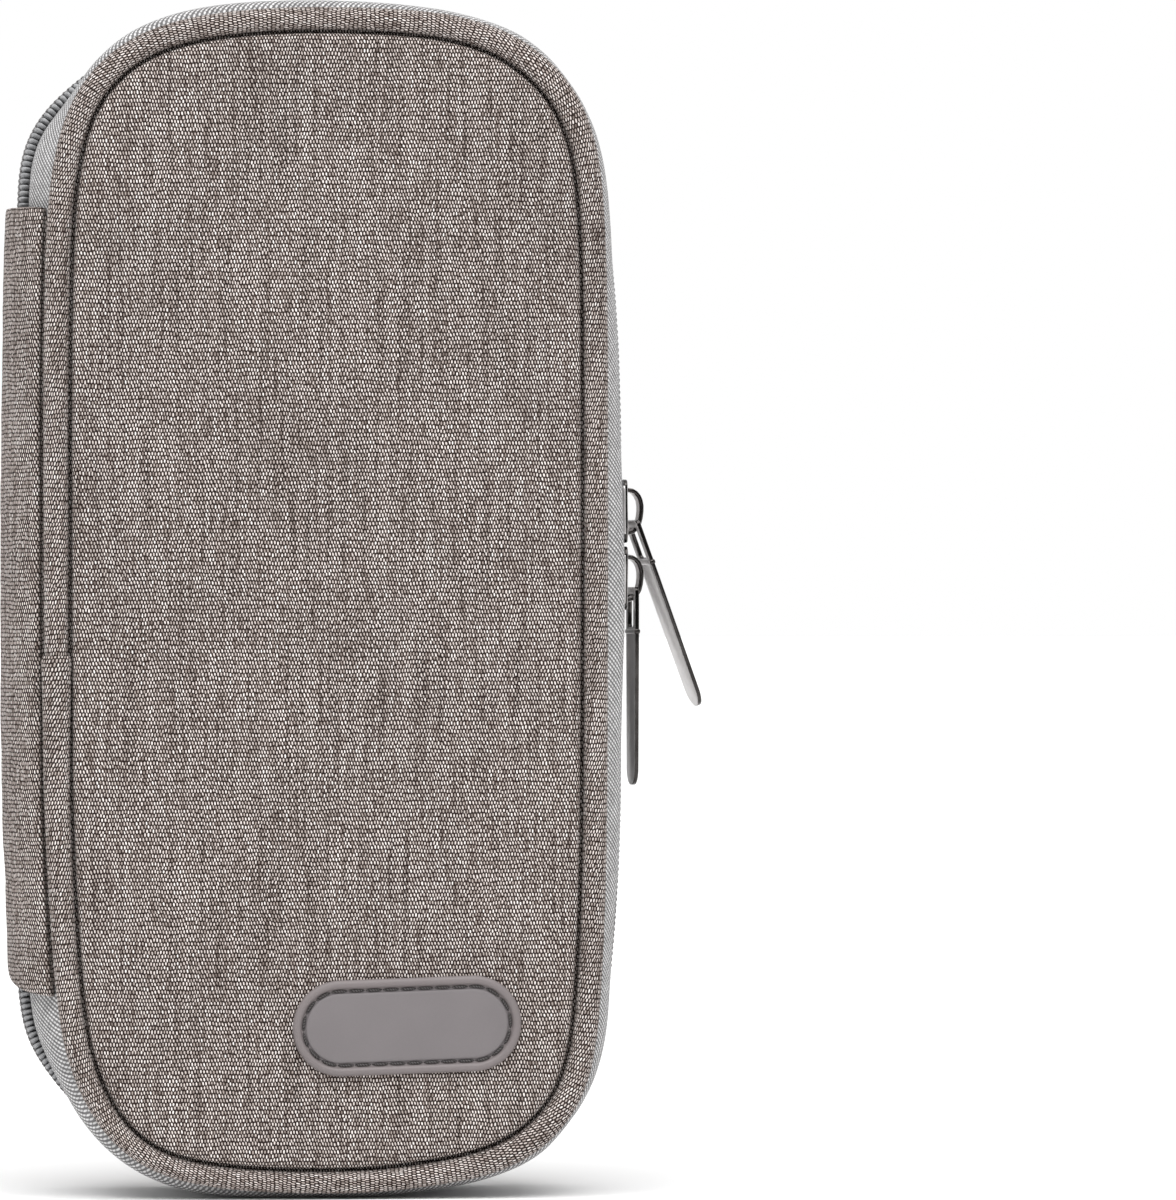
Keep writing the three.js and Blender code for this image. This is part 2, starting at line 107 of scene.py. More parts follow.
def closed_curve(points, sigma=2.8, n=2400):
    """A smooth closed outline near points that start in the middle of the left side and run left, bottom, right, top."""
    p = np.array(points + points[:1], float)
    s = line_length(p)
    q = np.linspace(0, s[-1], n + 1)[:-1]
    c = np.interp(q, s, p[:, 0]) + 1j * np.interp(q, s, p[:, 1])
    k = np.fft.fftfreq(n, s[-1] / n)
    c = np.fft.ifft(np.fft.fft(c) * np.exp(-2 * (np.pi * k * sigma) ** 2))
    return np.stack([c.real, c.imag], 1)


def resample(line, n, closed, turn=0.3, step=13.0):
    """Points spread by length and by turning, so that corners get more."""
    pts = np.vstack([line, line[:1]]) if closed else line
    seg = np.diff(pts, axis=0)
    ln = np.hypot(seg[:, 0], seg[:, 1])
    ang = np.arctan2(seg[:, 1], seg[:, 0])
    nxt = np.append(ang[1:], ang[0] if closed else ang[-1])
    t = np.abs(np.arctan2(np.sin(nxt - ang), np.cos(nxt - ang)))
    w = np.concatenate([[0], np.cumsum(ln / step + (t / turn if turn else 0))])
    q = np.linspace(0, w[-1], n + 1)[:-1] if closed else np.linspace(0, w[-1], n)
    return np.stack([np.interp(q, w, pts[:, 0]), np.interp(q, w, pts[:, 1])], 1)


def open_run(dense, low, high):
    """From the left side at z = low round the lower end, the right side and the upper end to the left at z = high."""
    n = len(dense)

    def cut(z, i):
        p, q = dense[i], dense[(i + 1) % n]
        f = (z - p[1]) / (q[1] - p[1])
        return [p[0] + f * (q[0] - p[0]), z]
    i0 = 0
    while not (dense[i0][1] >= low > dense[i0 + 1][1]):
        i0 += 1
    i1 = n - 2
    while not (dense[i1][1] >= high > dense[(i1 + 1) % n][1]):
        i1 -= 1
    return np.vstack([[cut(low, i0)], dense[i0 + 1:i1 + 1], [cut(high, i1)]])


def ring_points(line, n):
    """n points of a closed outline, from its lowest point up the right side and down the left."""
    i0, i1 = int(np.argmin(line[:, 1])), int(np.argmax(line[:, 1]))
    roll = np.roll(line, -i0, 0)
    k = (i1 - i0) % len(line)
    right = resample(roll[:k + 1], n // 2 + 1, False)
    left = resample(np.vstack([roll[k:], roll[:1]]), n // 2 + 1, False)
    return np.vstack([right[:-1], left[:-1]])


def across(ring, k):
    """A grid that fills a ring of points: one row for each pair of points on the right and the left."""
    n = len(ring)
    t = np.linspace(0, 1, k)[:, None]
    return np.array([ring[i] + t * (ring[(n - i) % n] - ring[i]) for i in range(n // 2 + 1)])


# the groove between the panel and its piping
GROOVE = closed_curve([
    (-42.5, 100), (-42.4, 83), (-42.4, 70), (-42.1, 60), (-41.75, 53), (-41.4, 46.5), (-40.95, 39.8), (-40.35, 33), (-39.4, 26.1), (-37.66, 20.4),
    (-35.6, 16.05), (-32.7, 12.0), (-29.3, 9.2), (-25.4, 7.4), (-20, 6.1), (-12, 5.25), (-4.4, 4.95), (2.35, 4.9), (9.1, 5.2), (15.8, 6.05),
    (20.84, 6.88), (24.8, 7.72), (28.71, 9.05), (32.72, 11.3), (36.42, 14.75), (39.04, 18.87), (40.56, 23.8), (41.3, 28.67), (41.75, 33.9), (42.15, 39.8),
    (42.55, 50), (42.8, 60), (42.95, 80), (43, 100), (43, 125), (42.95, 145), (42.8, 155), (42.5, 162), (42.1, 168.5), (41.2, 174.5),
    (39.8, 179.1), (37.26, 183.9), (33.65, 187.5), (29.8, 190.3), (25.95, 192.1), (20.8, 193.5), (15.8, 194.2), (9.1, 194.7), (2.35, 194.85), (-4.36, 194.85),
    (-11.07, 194.5), (-17.8, 193.75), (-22.3, 192.9), (-26.9, 191.55), (-30.5, 189.8), (-33.3, 187.8), (-35.9, 185.2), (-37.7, 182.6), (-39.1, 179.6), (-40.2, 175.9),
    (-41.0, 172.2), (-41.5, 168.5), (-42.0, 163), (-42.3, 154), (-42.5, 140), (-42.55, 126.8), (-42.5, 113)])
GROOVE_NORMAL = line_normals(GROOVE, True)
# width of the piping from the groove outwards, by the direction that it faces
_face = np.degrees(np.arctan2(GROOVE_NORMAL[:, 1], GROOVE_NORMAL[:, 0]))
ROLL = np.interp(_face, [-180, -135, -90, -72, -55, -28, -10, 0, 22, 40, 62, 90, 135, 180], [4.5, 3.7, 3.95, 4.4, 4.8, 4.75, 4.4, 4.35, 4.6, 4.85, 4.55, 4.1, 4.35, 4.5])
_kernel = np.hanning(161) / np.hanning(161).sum()
ROLL = np.convolve(np.concatenate([ROLL[-80:], ROLL, ROLL[:80]]), _kernel, "valid")
PIPE = GROOVE + GROOVE_NORMAL * ROLL[:, None]
# the outermost line of the zip chain
CHAIN = closed_curve([
    (-51, 100), (-51, 70), (-50.95, 52), (-50.85, 42), (-50.6, 34), (-50.0, 29.5), (-49.0, 26.0), (-47.0, 22.3), (-43.7, 17.9), (-40.0, 13.9),
    (-35.8, 9.9), (-30.8, 6.3), (-25.5, 3.8), (-19, 2.0), (-10, 0.9), (0, 0.6), (10, 0.9), (19, 1.9), (26.3, 3.6), (31.4, 5.6),
    (35.6, 8.0), (39.4, 10.9), (42.6, 14.4), (44.9, 17.7), (46.5, 20.9), (47.9, 25.6), (48.5, 31.0), (49.1, 37), (49.9, 46), (50.5, 56),
    (50.8, 66), (50.9, 100), (50.8, 130), (50.4, 143), (49.8, 152), (48.95, 161), (48.2, 167.5), (47.3, 173), (45.9, 178.3), (44.0, 182.6),
    (41.7, 186.4), (39.0, 189.4), (35.2, 192.7), (31.4, 195.0), (27.7, 196.5), (21.2, 198.1), (12, 198.9), (0, 199.1), (-10, 198.9), (-17.4, 198.4),
    (-22.3, 197.6), (-27.0, 196.2), (-30.8, 194.5), (-34.3, 192.1), (-38.0, 189.4), (-40.6, 187.5), (-43.1, 185.3), (-45.3, 183.3), (-47.9, 179.9), (-49.6, 176.3),
    (-50.5, 172), (-50.75, 166.2), (-51, 150), (-51, 125)], 2.0)
# the line along which the zip tape bulges out right behind the piping
BULGE = closed_curve([
    (-46.5, 100), (-46.5, 60), (-46.5, 30), (-45.0, 21.5), (-42.4, 16.1), (-40.6, 12.7), (-38.1, 9.35), (-34.5, 6.0), (-32.7, 4.65), (-29.0, 2.6),
    (-27.6, 2.1), (-22.6, 0.9), (-17.5, 0.3), (-12.5, 0.05), (0, 0.0), (7.8, 0.05), (12.8, 0.3), (17.9, 0.95), (22.9, 1.8), (28.0, 3.1),
    (33.0, 5.0), (34.9, 6.0), (38.1, 8.3), (43.1, 14.55), (45.3, 18.9), (46.7, 24), (47.5, 30), (47.8, 40), (48.0, 60), (48.0, 100),
    (48.0, 140), (48.1, 155), (48.1, 160.4), (47.8, 167.1), (47.0, 173.9), (45.7, 178.9), (43.1, 184.6), (38.1, 191.1), (33.0, 195.0), (28.0, 197.0),
    (22.9, 198.4), (17.9, 199.3), (12.8, 199.85), (7.8, 200.2), (2.7, 200.4), (-2.3, 200.45), (-7.4, 200.35), (-12.5, 200.1), (-17.5, 199.6), (-22.6, 198.7),
    (-27.6, 197.2), (-32.7, 194.8), (-37.0, 191.4), (-39.5, 188.6), (-42.0, 184.8), (-44.3, 180), (-45.6, 175), (-46.2, 168), (-46.5, 155)], 1.6)

_half = {}


def half_width(z, inset):
    """Half width inside the wall at a height, the same on both sides."""
    if inset not in _half:
        line = PIPE - GROOVE_NORMAL * inset
        zs = np.linspace(line[:, 1].min() + 0.01, line[:, 1].max() - 0.01, 400)
        both = []
        for sign in (1, -1):
            d = line[line[:, 0] * sign > 0]
            order = np.argsort(d[:, 1])
            both.append(np.interp(zs, d[order, 1], np.abs(d[order, 0])))
        _half[inset] = (zs, np.minimum(*both))
    zs, w = _half[inset]
    return float(np.interp(z, zs, w))


# ------------------------------------------------------------------ meshes
def make(name, verts, faces, mat, body, uvs=None, replaces=(), shade=True):
    """A mesh object from case millimetres. uvs is one (u, v) in millimetres for each face corner."""
    me = bpy.data.meshes.new(name)
    me.from_pydata(to_frame(verts).tolist(), [], [list(map(int, f)) for f in faces])
    if uvs is not None:
        layer = me.uv_layers.new(name="weave")
        layer.data.foreach_set("uv", np.asarray(uvs, np.float32).ravel())
    me.polygons.foreach_set("use_smooth", [shade] * len(me.polygons))
    me.update()
    o = bpy.data.objects.new(name, me)
    bpy.context.scene.collection.objects.link(o)
    me.materials.append(mat)
    if body:
        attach(o, body)
    if replaces:
        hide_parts(*replaces)
    return o


class Build:
    """Gathers several surfaces into one mesh."""

    def __init__(self):
        self.v, self.f, self.uv, self.n = [], [], [], 0

    def add(self, verts, faces, uvs=None):
        verts = np.asarray(verts, float).reshape(-1, 3)
        self.v.append(verts)
        base = self.n
        for k, f in enumerate(faces):
            self.f.append([base + i for i in f])
        if uvs is None:
            for f in faces:
                self.uv += [(verts[i][0], verts[i][2]) for i in f]
        else:
            self.uv += list(uvs)
        self.n += len(verts)

    def grid(self, p, uv=None, wrap_u=False, wrap_v=False, flip=False):
        """p[m][k] points; uv[m(+1)][k(+1)] when wrapped."""
        m, k = p.shape[:2]
        faces, cs = [], []
        for i in range(m if wrap_u else m - 1):
            for j in range(k if wrap_v else k - 1):
                i2, j2 = (i + 1) % m, (j + 1) % k
                q = [i * k + j, i2 * k + j, i2 * k + j2, i * k + j2]
                c = [(i, j), (i + 1, j), (i + 1, j + 1), (i, j + 1)]
                if flip:
                    q.reverse()
                    c.reverse()
                faces.append(q)
                cs.append(c)
        if uv is None:
            self.add(p.reshape(-1, 3), faces)
        else:
            self.add(p.reshape(-1, 3), faces, [tuple(uv[a][b]) for c in cs for a, b in c])

    def slab(self, front, behind, uv, rim=0.0):
        """A closed sheet between two grids, with a rounded rim that stands out by rim."""
        m, k = front.shape[:2]
        idx = lambda s, i, j: s * m * k + i * k + j
        verts = [front.reshape(-1, 3), behind.reshape(-1, 3)]
        faces, cs = [], []
        for i in range(m - 1):
            for j in range(k - 1):
                c = [(i, j), (i + 1, j), (i + 1, j + 1), (i, j + 1)]
                faces.append([idx(0, a, b) for a, b in c])
                cs.append(c)
                faces.append([idx(1, a, b) for a, b in reversed(c)])
                cs.append(c[::-1])
        loop = [(i, 0) for i in range(m)] + [(m - 1, j) for j in range(1, k)] + [(i, k - 1) for i in range(m - 2, -1, -1)] + [(0, j) for j in range(k - 2, 0, -1)]
        mid = []
        for i, j in loop:
            c = (front[i, j] + behind[i, j]) / 2
            ii, jj = min(max(i, 1), m - 2) if m > 2 else i, min(max(j, 1), k - 2) if k > 2 else j
            if (ii, jj) == (i, j):
                ii, jj = (i, 1 if j == 0 else k - 2) if k > 2 else (1 if i == 0 else m - 2, j)
            inner = (front[ii, jj] + behind[ii, jj]) / 2
            d = c - inner
            ln = np.linalg.norm(d)
            mid.append(c + (d / ln * rim if ln > 1e-9 else 0))
        verts.append(np.array(mid))
        base = 2 * m * k
        L = len(loop)
        for q in range(L):
            a, b = loop[q], loop[(q + 1) % L]
            faces.append([idx(0, *b), idx(0, *a), base + q, base + (q + 1) % L])
            cs.append([b, a, a, b])
            faces.append([base + (q + 1) % L, base + q, idx(1, *a), idx(1, *b)])
            cs.append([b, a, a, b])
        self.add(np.vstack(verts), faces, [tuple(uv[a][b]) for c in cs for a, b in c])

    def tube(self, path, radius, sides=8, up=(0, 1, 0), cap=True, uv_scale=1.0):
        """A round tube along open points."""
        path = np.asarray(path, float)
        n = len(path)
        r = np.broadcast_to(np.asarray(radius, float), (n,))
        t = np.gradient(path, axis=0)
        t /= np.maximum(np.linalg.norm(t, axis=1), 1e-9)[:, None]
        u = np.broadcast_to(np.asarray(up, float), (n, 3))
        a = np.cross(t, u)
        a /= np.maximum(np.linalg.norm(a, axis=1), 1e-9)[:, None]
        b = np.cross(a, t)
        ang = TAU * np.arange(sides) / sides
        p = path[:, None] + r[:, None, None] * (np.cos(ang)[None, :, None] * a[:, None] + np.sin(ang)[None, :, None] * b[:, None])
        s = np.concatenate([[0], np.cumsum(np.linalg.norm(np.diff(path, axis=0), axis=1))])
        uv = [[(s[i], TAU * j / sides * r[i]) for j in range(sides + 1)] for i in range(n)]
        self.grid(p, uv, wrap_v=True)
        if cap:
            for e, flip in ((0, False), (n - 1, True)):
                f = list(range(sides))
                self.add(p[e], [f[::-1] if not flip else f])

    def capsule(self, a, b, r, sides=6, up=(0, 1, 0), flat=1.0):
        """A short thread with round ends."""
        a, b = np.asarray(a, float), np.asarray(b, float)
        d = b - a
        ts = np.array([0, 0.08, 0.3, 0.7, 0.92, 1.0])
        rs = np.array([0.25, 0.75, 1, 1, 0.75, 0.25]) * r
        self.tube(a + ts[:, None] * d, rs, sides, up)

    def object(self, name, mat, body, replaces=(), slot=None, shade=True, join=False):
        o = make(name, np.vstack(self.v), self.f, mat, None if join else body, self.uv, replaces, shade)
        if join:
            weld(o)
            if body:
                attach(o, body)
        return o


def apply_modifiers(o):
    dg = bpy.context.evaluated_depsgraph_get()
    me = bpy.data.meshes.new_from_object(o.evaluated_get(dg), preserve_all_data_layers=True, depsgraph=dg)
    old = o.data
    o.modifiers.clear()
    o.data = me
    bpy.data.meshes.remove(old)


def inflate(o, pins, pressure, cap, frames=20, bend=0.5, tension=15.0, shrink=0.0):
    """Cloth under inner pressure, held where pins is 1. A point moves at most cap metres."""
    sc = bpy.context.scene
    group = o.vertex_groups.new(name="held")
    for i, w in enumerate(pins):
        if w > 0:
            group.add([i], float(w), "REPLACE")
    rest = np.array([v.co for v in o.data.vertices], float)
    mod = o.modifiers.new("cloth", "CLOTH")
    s = mod.settings
    s.quality = 6
    s.mass = 0.25
    s.tension_stiffness = s.compression_stiffness = tension
    s.shear_stiffness = tension / 2
    s.bending_stiffness = bend
    s.use_pressure = True
    s.uniform_pressure_force = pressure
    s.vertex_group_mass = "held"
    s.pin_stiffness = 1.0
    s.shrink_min = shrink
    s.effector_weights.gravity = 0.0
    mod.collision_settings.use_collision = False
    mod.collision_settings.use_self_collision = False
    mod.point_cache.frame_start, mod.point_cache.frame_end = 1, frames
    for f in range(1, frames + 1):
        sc.frame_set(f)
    dg = bpy.context.evaluated_depsgraph_get()
    ev = o.evaluated_get(dg)
    co = np.array([v.co for v in ev.data.vertices], float)
    o.modifiers.clear()
    o.vertex_groups.clear()
    sc.frame_set(1)
    move = co - rest
    move[~np.isfinite(move).all(1)] = 0
    d = np.linalg.norm(move, axis=1)
    move *= (cap * np.tanh(d / cap) / np.maximum(d, 1e-12))[:, None]
    o.data.vertices.foreach_set("co", (rest + move).astype(np.float32).ravel())
    o.data.update()
    return float(d.max()), float(np.linalg.norm(move, axis=1).max())


# --------------------------------------------------------------- materials
class Mat:
    def __init__(self, name):
        self.m = bpy.data.materials.new(name)
        self.m.use_nodes = True
        self.t = self.m.node_tree
        self.t.nodes.clear()
        out = self.t.nodes.new("ShaderNodeOutputMaterial")
        self.b = self.t.nodes.new("ShaderNodeBsdfPrincipled")
        self.t.links.new(self.b.outputs[0], out.inputs[0])

    def put(self, sock, value):
        if isinstance(value, bpy.types.NodeSocket):
            self.t.links.new(value, sock)
        elif value is not None:
            if hasattr(sock.default_value, "__len__") and not hasattr(value, "__len__"):
                value = [value] * len(sock.default_value)
            elif hasattr(sock.default_value, "__len__") and len(sock.default_value) == 4 and len(value) == 3:
                value = [*value, 1.0]
            sock.default_value = value

    def node(self, kind, ins=(), **props):
        n = self.t.nodes.new(kind)
        for k, v in props.items():
            setattr(n, k, v)
        for k, v in dict(ins).items():
            self.put(n.inputs[k], v)
        return n

    def math(self, op, a, b=None, c=None):
        n = self.node("ShaderNodeMath", operation=op)
        for i, v in enumerate((a, b, c)):
            self.put(n.inputs[i], v)
        return n.outputs[0]

    def mix(self, f, a, b, how="MIX"):
        n = self.node("ShaderNodeMix", data_type="RGBA", blend_type=how)
        self.put(n.inputs[0], f)
        self.put(n.inputs[6], a)
        self.put(n.inputs[7], b)
        return n.outputs[2]

    def ramp(self, f, *stops):
        n = self.node("ShaderNodeValToRGB")
        self.put(n.inputs[0], f)
        e = n.color_ramp.elements
        while len(e) < len(stops):
            e.new(0.5)
        for i, (at, col) in enumerate(stops):
            e[i].position = at
            e[i].color = [*([col] * 3 if not hasattr(col, "__len__") else col), 1.0]
        return n.outputs[0]

    def span(self, v, a, b, lo=0.0, hi=1.0, how="SMOOTHSTEP"):
        n = self.node("ShaderNodeMapRange", interpolation_type=how)
        for i, x in enumerate((v, a, b, lo, hi)):
            self.put(n.inputs[i], x)
        return n.outputs[0]

    def uv(self):
        n = self.node("ShaderNodeUVMap", uv_map="weave")
        s = self.node("ShaderNodeSeparateXYZ", {0: n.outputs[0]})
        return s.outputs[0], s.outputs[1], n.outputs[0]

    def place(self):
        """Place on the object in millimetres."""
        n = self.node("ShaderNodeTexCoord")
        v = self.node("ShaderNodeVectorMath", operation="SCALE")
        self.put(v.inputs[0], n.outputs["Object"])
        self.put(v.inputs["Scale"], 1000.0)
        return v.outputs[0]

    def vec(self, x, y, z=0.0):
        n = self.node("ShaderNodeCombineXYZ")
        for i, v in enumerate((x, y, z)):
            self.put(n.inputs[i], v)
        return n.outputs[0]

    def noise(self, vec, scale=1.0, detail=2.0, rough=0.5, colour=False, dims="3D"):
        n = self.node("ShaderNodeTexNoise", noise_dimensions=dims)
        self.put(n.inputs["Vector"], vec)
        self.put(n.inputs["Scale"], scale)
        self.put(n.inputs["Detail"], detail)
        self.put(n.inputs["Roughness"], rough)
        return n.outputs[1 if colour else 0]

    def white(self, vec):
        n = self.node("ShaderNodeTexWhiteNoise", noise_dimensions="2D")
        self.put(n.inputs["Vector"], vec)
        return n.outputs[0]

    def bump(self, height, distance, strength=1.0, normal=None):
        n = self.node("ShaderNodeBump")
        n.inputs["Strength"].default_value = strength
        n.inputs["Distance"].default_value = distance
        self.put(n.inputs["Height"], height)
        if normal is not None:
            self.put(n.inputs["Normal"], normal)
        return n.outputs[0]

    def done(self, **ins):
        for k, v in ins.items():
            self.put(self.b.inputs[k.replace("_", " ")], v)
        return self.m


def fabric(name):
    """Melange plain weave: rows 0.668 mm apart, light warp floats 0.508 mm apart in each row and half a pitch
    over in the next, in a dark ground of weft colour with painted shade in the gaps between floats and rows, with
    slubs of lighter and darker yarn along the warp."""
    m = Mat(name)
    u, v, vec = m.uv()
    wob = m.noise(vec, 0.16, 3.0, 0.6, colour=True)
    sep = m.node("ShaderNodeSeparateColor", {0: wob})
    u = m.math("ADD", u, m.math("MULTIPLY_ADD", sep.outputs[0], 1.0, -0.5))
    v = m.math("ADD", v, m.math("MULTIPLY_ADD", sep.outputs[1], 0.9, -0.45))
    column = m.math("FLOOR", m.math("MULTIPLY_ADD", u, 1 / 0.254, 0.5))
    # each warp yarn rises a little early or late
    late = m.noise(m.vec(m.math("MULTIPLY", column, 2.71), m.math("MULTIPLY", v, 0.35)), 1.0, 1.0, dims="2D")
    v = m.math("ADD", v, m.math("MULTIPLY_ADD", late, 0.42, -0.21))
    rows = m.math("MULTIPLY_ADD", v, 1 / 0.668, 0.5)
    row = m.math("FLOOR", rows)
    # floats lean with the twist of the yarn
    lean = m.math("MULTIPLY", m.math("SUBTRACT", m.math("SUBTRACT", rows, row), 0.5), m.math("MULTIPLY_ADD", sep.outputs[2], 0.9, -0.33))
    shifted = m.math("ADD", m.math("MULTIPLY_ADD", row, 0.254, u), m.math("MULTIPLY", lean, 0.5))
    cu = m.math("MULTIPLY_ADD", m.math("COSINE", m.math("MULTIPLY", shifted, TAU / 0.508)), 0.5, 0.5)
    cv = m.math("ABSOLUTE", m.math("COSINE", m.math("MULTIPLY", v, math.pi / 0.668)))
    over = m.span(m.math("MULTIPLY", m.math("POWER", cu, 1.0), m.math("POWER", cv, 0.52)), 0.27, 0.80)
    yarn = m.math("FLOOR", m.math("MULTIPLY_ADD", shifted, 1 / 0.508, 0.5))
    slub = m.noise(m.vec(m.math("MULTIPLY", column, 3.173), m.math("MULTIPLY", v, 0.09)), 1.0, 2.0, 0.6, dims="2D")
    streak = m.noise(m.vec(m.math("MULTIPLY", u, 1.7), m.math("MULTIPLY", v, 0.03)), 1.0, 2.0, 0.55, dims="2D")
    weft = m.noise(m.vec(m.math("MULTIPLY", u, 0.12), m.math("MULTIPLY", row, 3.31)), 1.0, 1.0, dims="2D")
    fleck = m.white(m.vec(yarn, row))
    tone = m.math("ADD", m.math("MULTIPLY_ADD", slub, 0.82, -0.41), m.math("MULTIPLY_ADD", streak, 0.46, -0.23))
    tone = m.math("ADD", tone, m.math("MULTIPLY_ADD", weft, 0.16, -0.08))
    tone = m.math("ADD", m.math("ADD", tone, 0.5), m.math("MULTIPLY_ADD", fleck, 0.32, -0.16))
    warp = m.ramp(tone, (0.12, (0.17, 0.135, 0.120)), (0.36, (0.45, 0.386, 0.354)), (0.57, (0.76, 0.682, 0.645)), (0.82, (1.0, 0.95, 0.915)))
    # painted shade: the dark ground is weft colour darkened further in the gaps between the floats and between the
    # rows
    weft_and_gap_shade = m.ramp(m.math("ADD", streak, m.math("MULTIPLY_ADD", cv, 0.3, -0.15)), (0.2, (0.010, 0.006, 0.005)), (0.8, (0.046, 0.031, 0.026)))
    col = m.mix(over, weft_and_gap_shade, warp)
    mottle = m.ramp(m.noise(vec, 0.045, 3.0), (0.25, 0.91), (0.75, 1.07))
    col = m.mix(1.0, col, mottle, "MULTIPLY")
    height = m.math("MULTIPLY_ADD", cv, 0.3, m.math("MULTIPLY", over, 0.7))
    rough = m.span(over, 0, 1, 0.95, 0.8)
    return m.done(Base_Color=col, Roughness=rough, Normal=m.bump(height, 0.00016, 0.5), Specular_IOR_Level=0.12,
                  Sheen_Weight=0.02, Sheen_Roughness=0.5, Sheen_Tint=(0.9, 0.86, 0.84))


def tape_weave(name):
    """Twill tape: short floats in diagonal lines that turn over in bands across the tape."""
    m = Mat(name)
    u, v, vec = m.uv()
    wob = m.noise(vec, 0.2, 2.0)
    v = m.math("ADD", v, m.math("MULTIPLY_ADD", wob, 0.3, -0.15))
    side = m.math("SIGN", m.math("SINE", m.math("MULTIPLY_ADD", v, math.pi / 13.0, 0.4)))
    lean = m.math("MULTIPLY", side, v)
    rib = m.math("MULTIPLY_ADD", m.math("SINE", m.math("MULTIPLY", m.math("MULTIPLY_ADD", lean, 0.62, u), TAU / 0.86)), 0.5, 0.5)
    cut = m.math("ABSOLUTE", m.math("SINE", m.math("MULTIPLY", m.math("MULTIPLY_ADD", lean, -0.9, u), math.pi / 1.0)))
    over = m.span(m.math("MULTIPLY", rib, m.math("POWER", cut, 0.5)), 0.18, 0.80)
    yarn = m.noise(m.vec(m.math("MULTIPLY", m.math("FLOOR", m.math("MULTIPLY", m.math("MULTIPLY_ADD", lean, 0.62, u), 1 / 0.86)), 2.9), m.math("MULTIPLY", v, 0.7)), 1.0, 2.0, dims="2D")
    light = m.ramp(yarn, (0.3, (0.58, 0.572, 0.575)), (0.7, (0.82, 0.810, 0.814)))
    dark = m.ramp(yarn, (0.3, (0.135, 0.133, 0.134)), (0.7, (0.20, 0.197, 0.198)))
    col = m.mix(over, dark, light)
    col = m.mix(1.0, col, m.ramp(m.noise(vec, 0.06, 2.0), (0.25, 0.94), (0.75, 1.05)), "MULTIPLY")
    return m.done(Base_Color=col, Roughness=m.span(over, 0, 1, 0.9, 0.75), Normal=m.bump(over, 0.00014, 0.5), Specular_IOR_Level=0.25,
                  Sheen_Weight=0.05, Sheen_Roughness=0.5)


def nylon(name, a, b, rough=0.42):
    m = Mat(name)
    p = m.place()
    n = m.noise(p, 0.9, 3.0)
    f = m.noise(p, 6.0, 2.0)
    col = m.mix(m.span(n, 0.3, 0.7), a, b)
    return m.done(Base_Color=col, Roughness=m.math("MULTIPLY_ADD", f, 0.2, rough - 0.1), Normal=m.bump(f, 0.00004, 0.4), Specular_IOR_Level=0.5)


def thread(name, a, b):
    m = Mat(name)
    u, v, vec = m.uv()
    twist = m.math("SINE", m.math("ADD", m.math("MULTIPLY", u, TAU / 0.45), m.math("MULTIPLY", v, TAU / 0.9)))
    f = m.span(twist, -1, 1)
    return m.done(Base_Color=m.mix(f, a, b), Roughness=m.span(f, 0, 1, 0.75, 0.6), Normal=m.bump(f, 0.00006, 0.5))


def foil(name, crease=1.0):
    """Metallised film pressed into a fine diamond weave, with crushed creases."""
    m = Mat(name)
    u, v, vec = m.uv()
    warp = m.noise(vec, 0.10, 2.0, colour=True)
    sep = m.node("ShaderNodeSeparateColor", {0: warp})
    gu = m.math("SINE", m.math("MULTIPLY", m.math("MULTIPLY_ADD", sep.outputs[0], 1.2, u), TAU / 1.5))
    gv = m.math("SINE", m.math("MULTIPLY", m.math("MULTIPLY_ADD", sep.outputs[1], 1.2, v), TAU / 1.5))
    grid = m.math("MULTIPLY", gu, gv)
    cell = m.span(grid, -0.4, 0.4)
    bent = m.node("ShaderNodeVectorMath", operation="MULTIPLY_ADD")
    m.put(bent.inputs[0], warp)
    m.put(bent.inputs[1], (9.0, 9.0, 9.0))
    m.put(bent.inputs[2], vec)
    vor = m.node("ShaderNodeTexVoronoi", feature="DISTANCE_TO_EDGE")
    m.put(vor.inputs["Vector"], bent.outputs[0])
    vor.inputs["Scale"].default_value = 0.11
    ridge = m.span(vor.outputs["Distance"], 0.0, 0.35)
    soft = m.noise(vec, 0.13, 3.0, 0.55)
    n1 = m.bump(soft, 0.0019 * crease, 0.9)
    n2 = m.bump(ridge, 0.0008 * crease, 0.8, n1)
    n3 = m.bump(grid, 0.00019, 0.75, n2)
    tone = m.mix(cell, (0.44, 0.45, 0.465), (0.90, 0.905, 0.915))
    tone = m.mix(m.span(soft, 0.3, 0.7), m.mix(1.0, tone, (0.86, 0.87, 0.89), "MULTIPLY"), tone)
    return m.done(Base_Color=tone, Metallic=0.97, Roughness=m.math("MULTIPLY_ADD", soft, 0.10, m.span(cell, 0, 1, 0.20, 0.07)), Normal=n3)


def foam_mat(name):
    m = Mat(name)
    p = m.place()
    vor = m.node("ShaderNodeTexVoronoi")
    m.put(vor.inputs["Vector"], p)
    vor.inputs["Scale"].default_value = 1.4
    d = vor.outputs["Distance"]
    return m.done(Base_Color=m.ramp(d, (0.0, (0.62, 0.60, 0.55)), (0.6, (0.80, 0.79, 0.75))), Roughness=m.span(d, 0, 0.6, 0.98, 0.85), Normal=m.bump(d, 0.0003, 0.6))


def mesh_yarn(name):
    m = Mat(name)
    p = m.place()
    n = m.noise(p, 2.2, 3.0)
    f = m.noise(p, 9.0, 2.0)
    return m.done(Base_Color=m.mix(m.span(n, 0.3, 0.7), (0.12, 0.124, 0.130), (0.23, 0.234, 0.242)), Roughness=m.math("MULTIPLY_ADD", f, 0.2, 0.62), Normal=m.bump(f, 0.0001, 0.5))


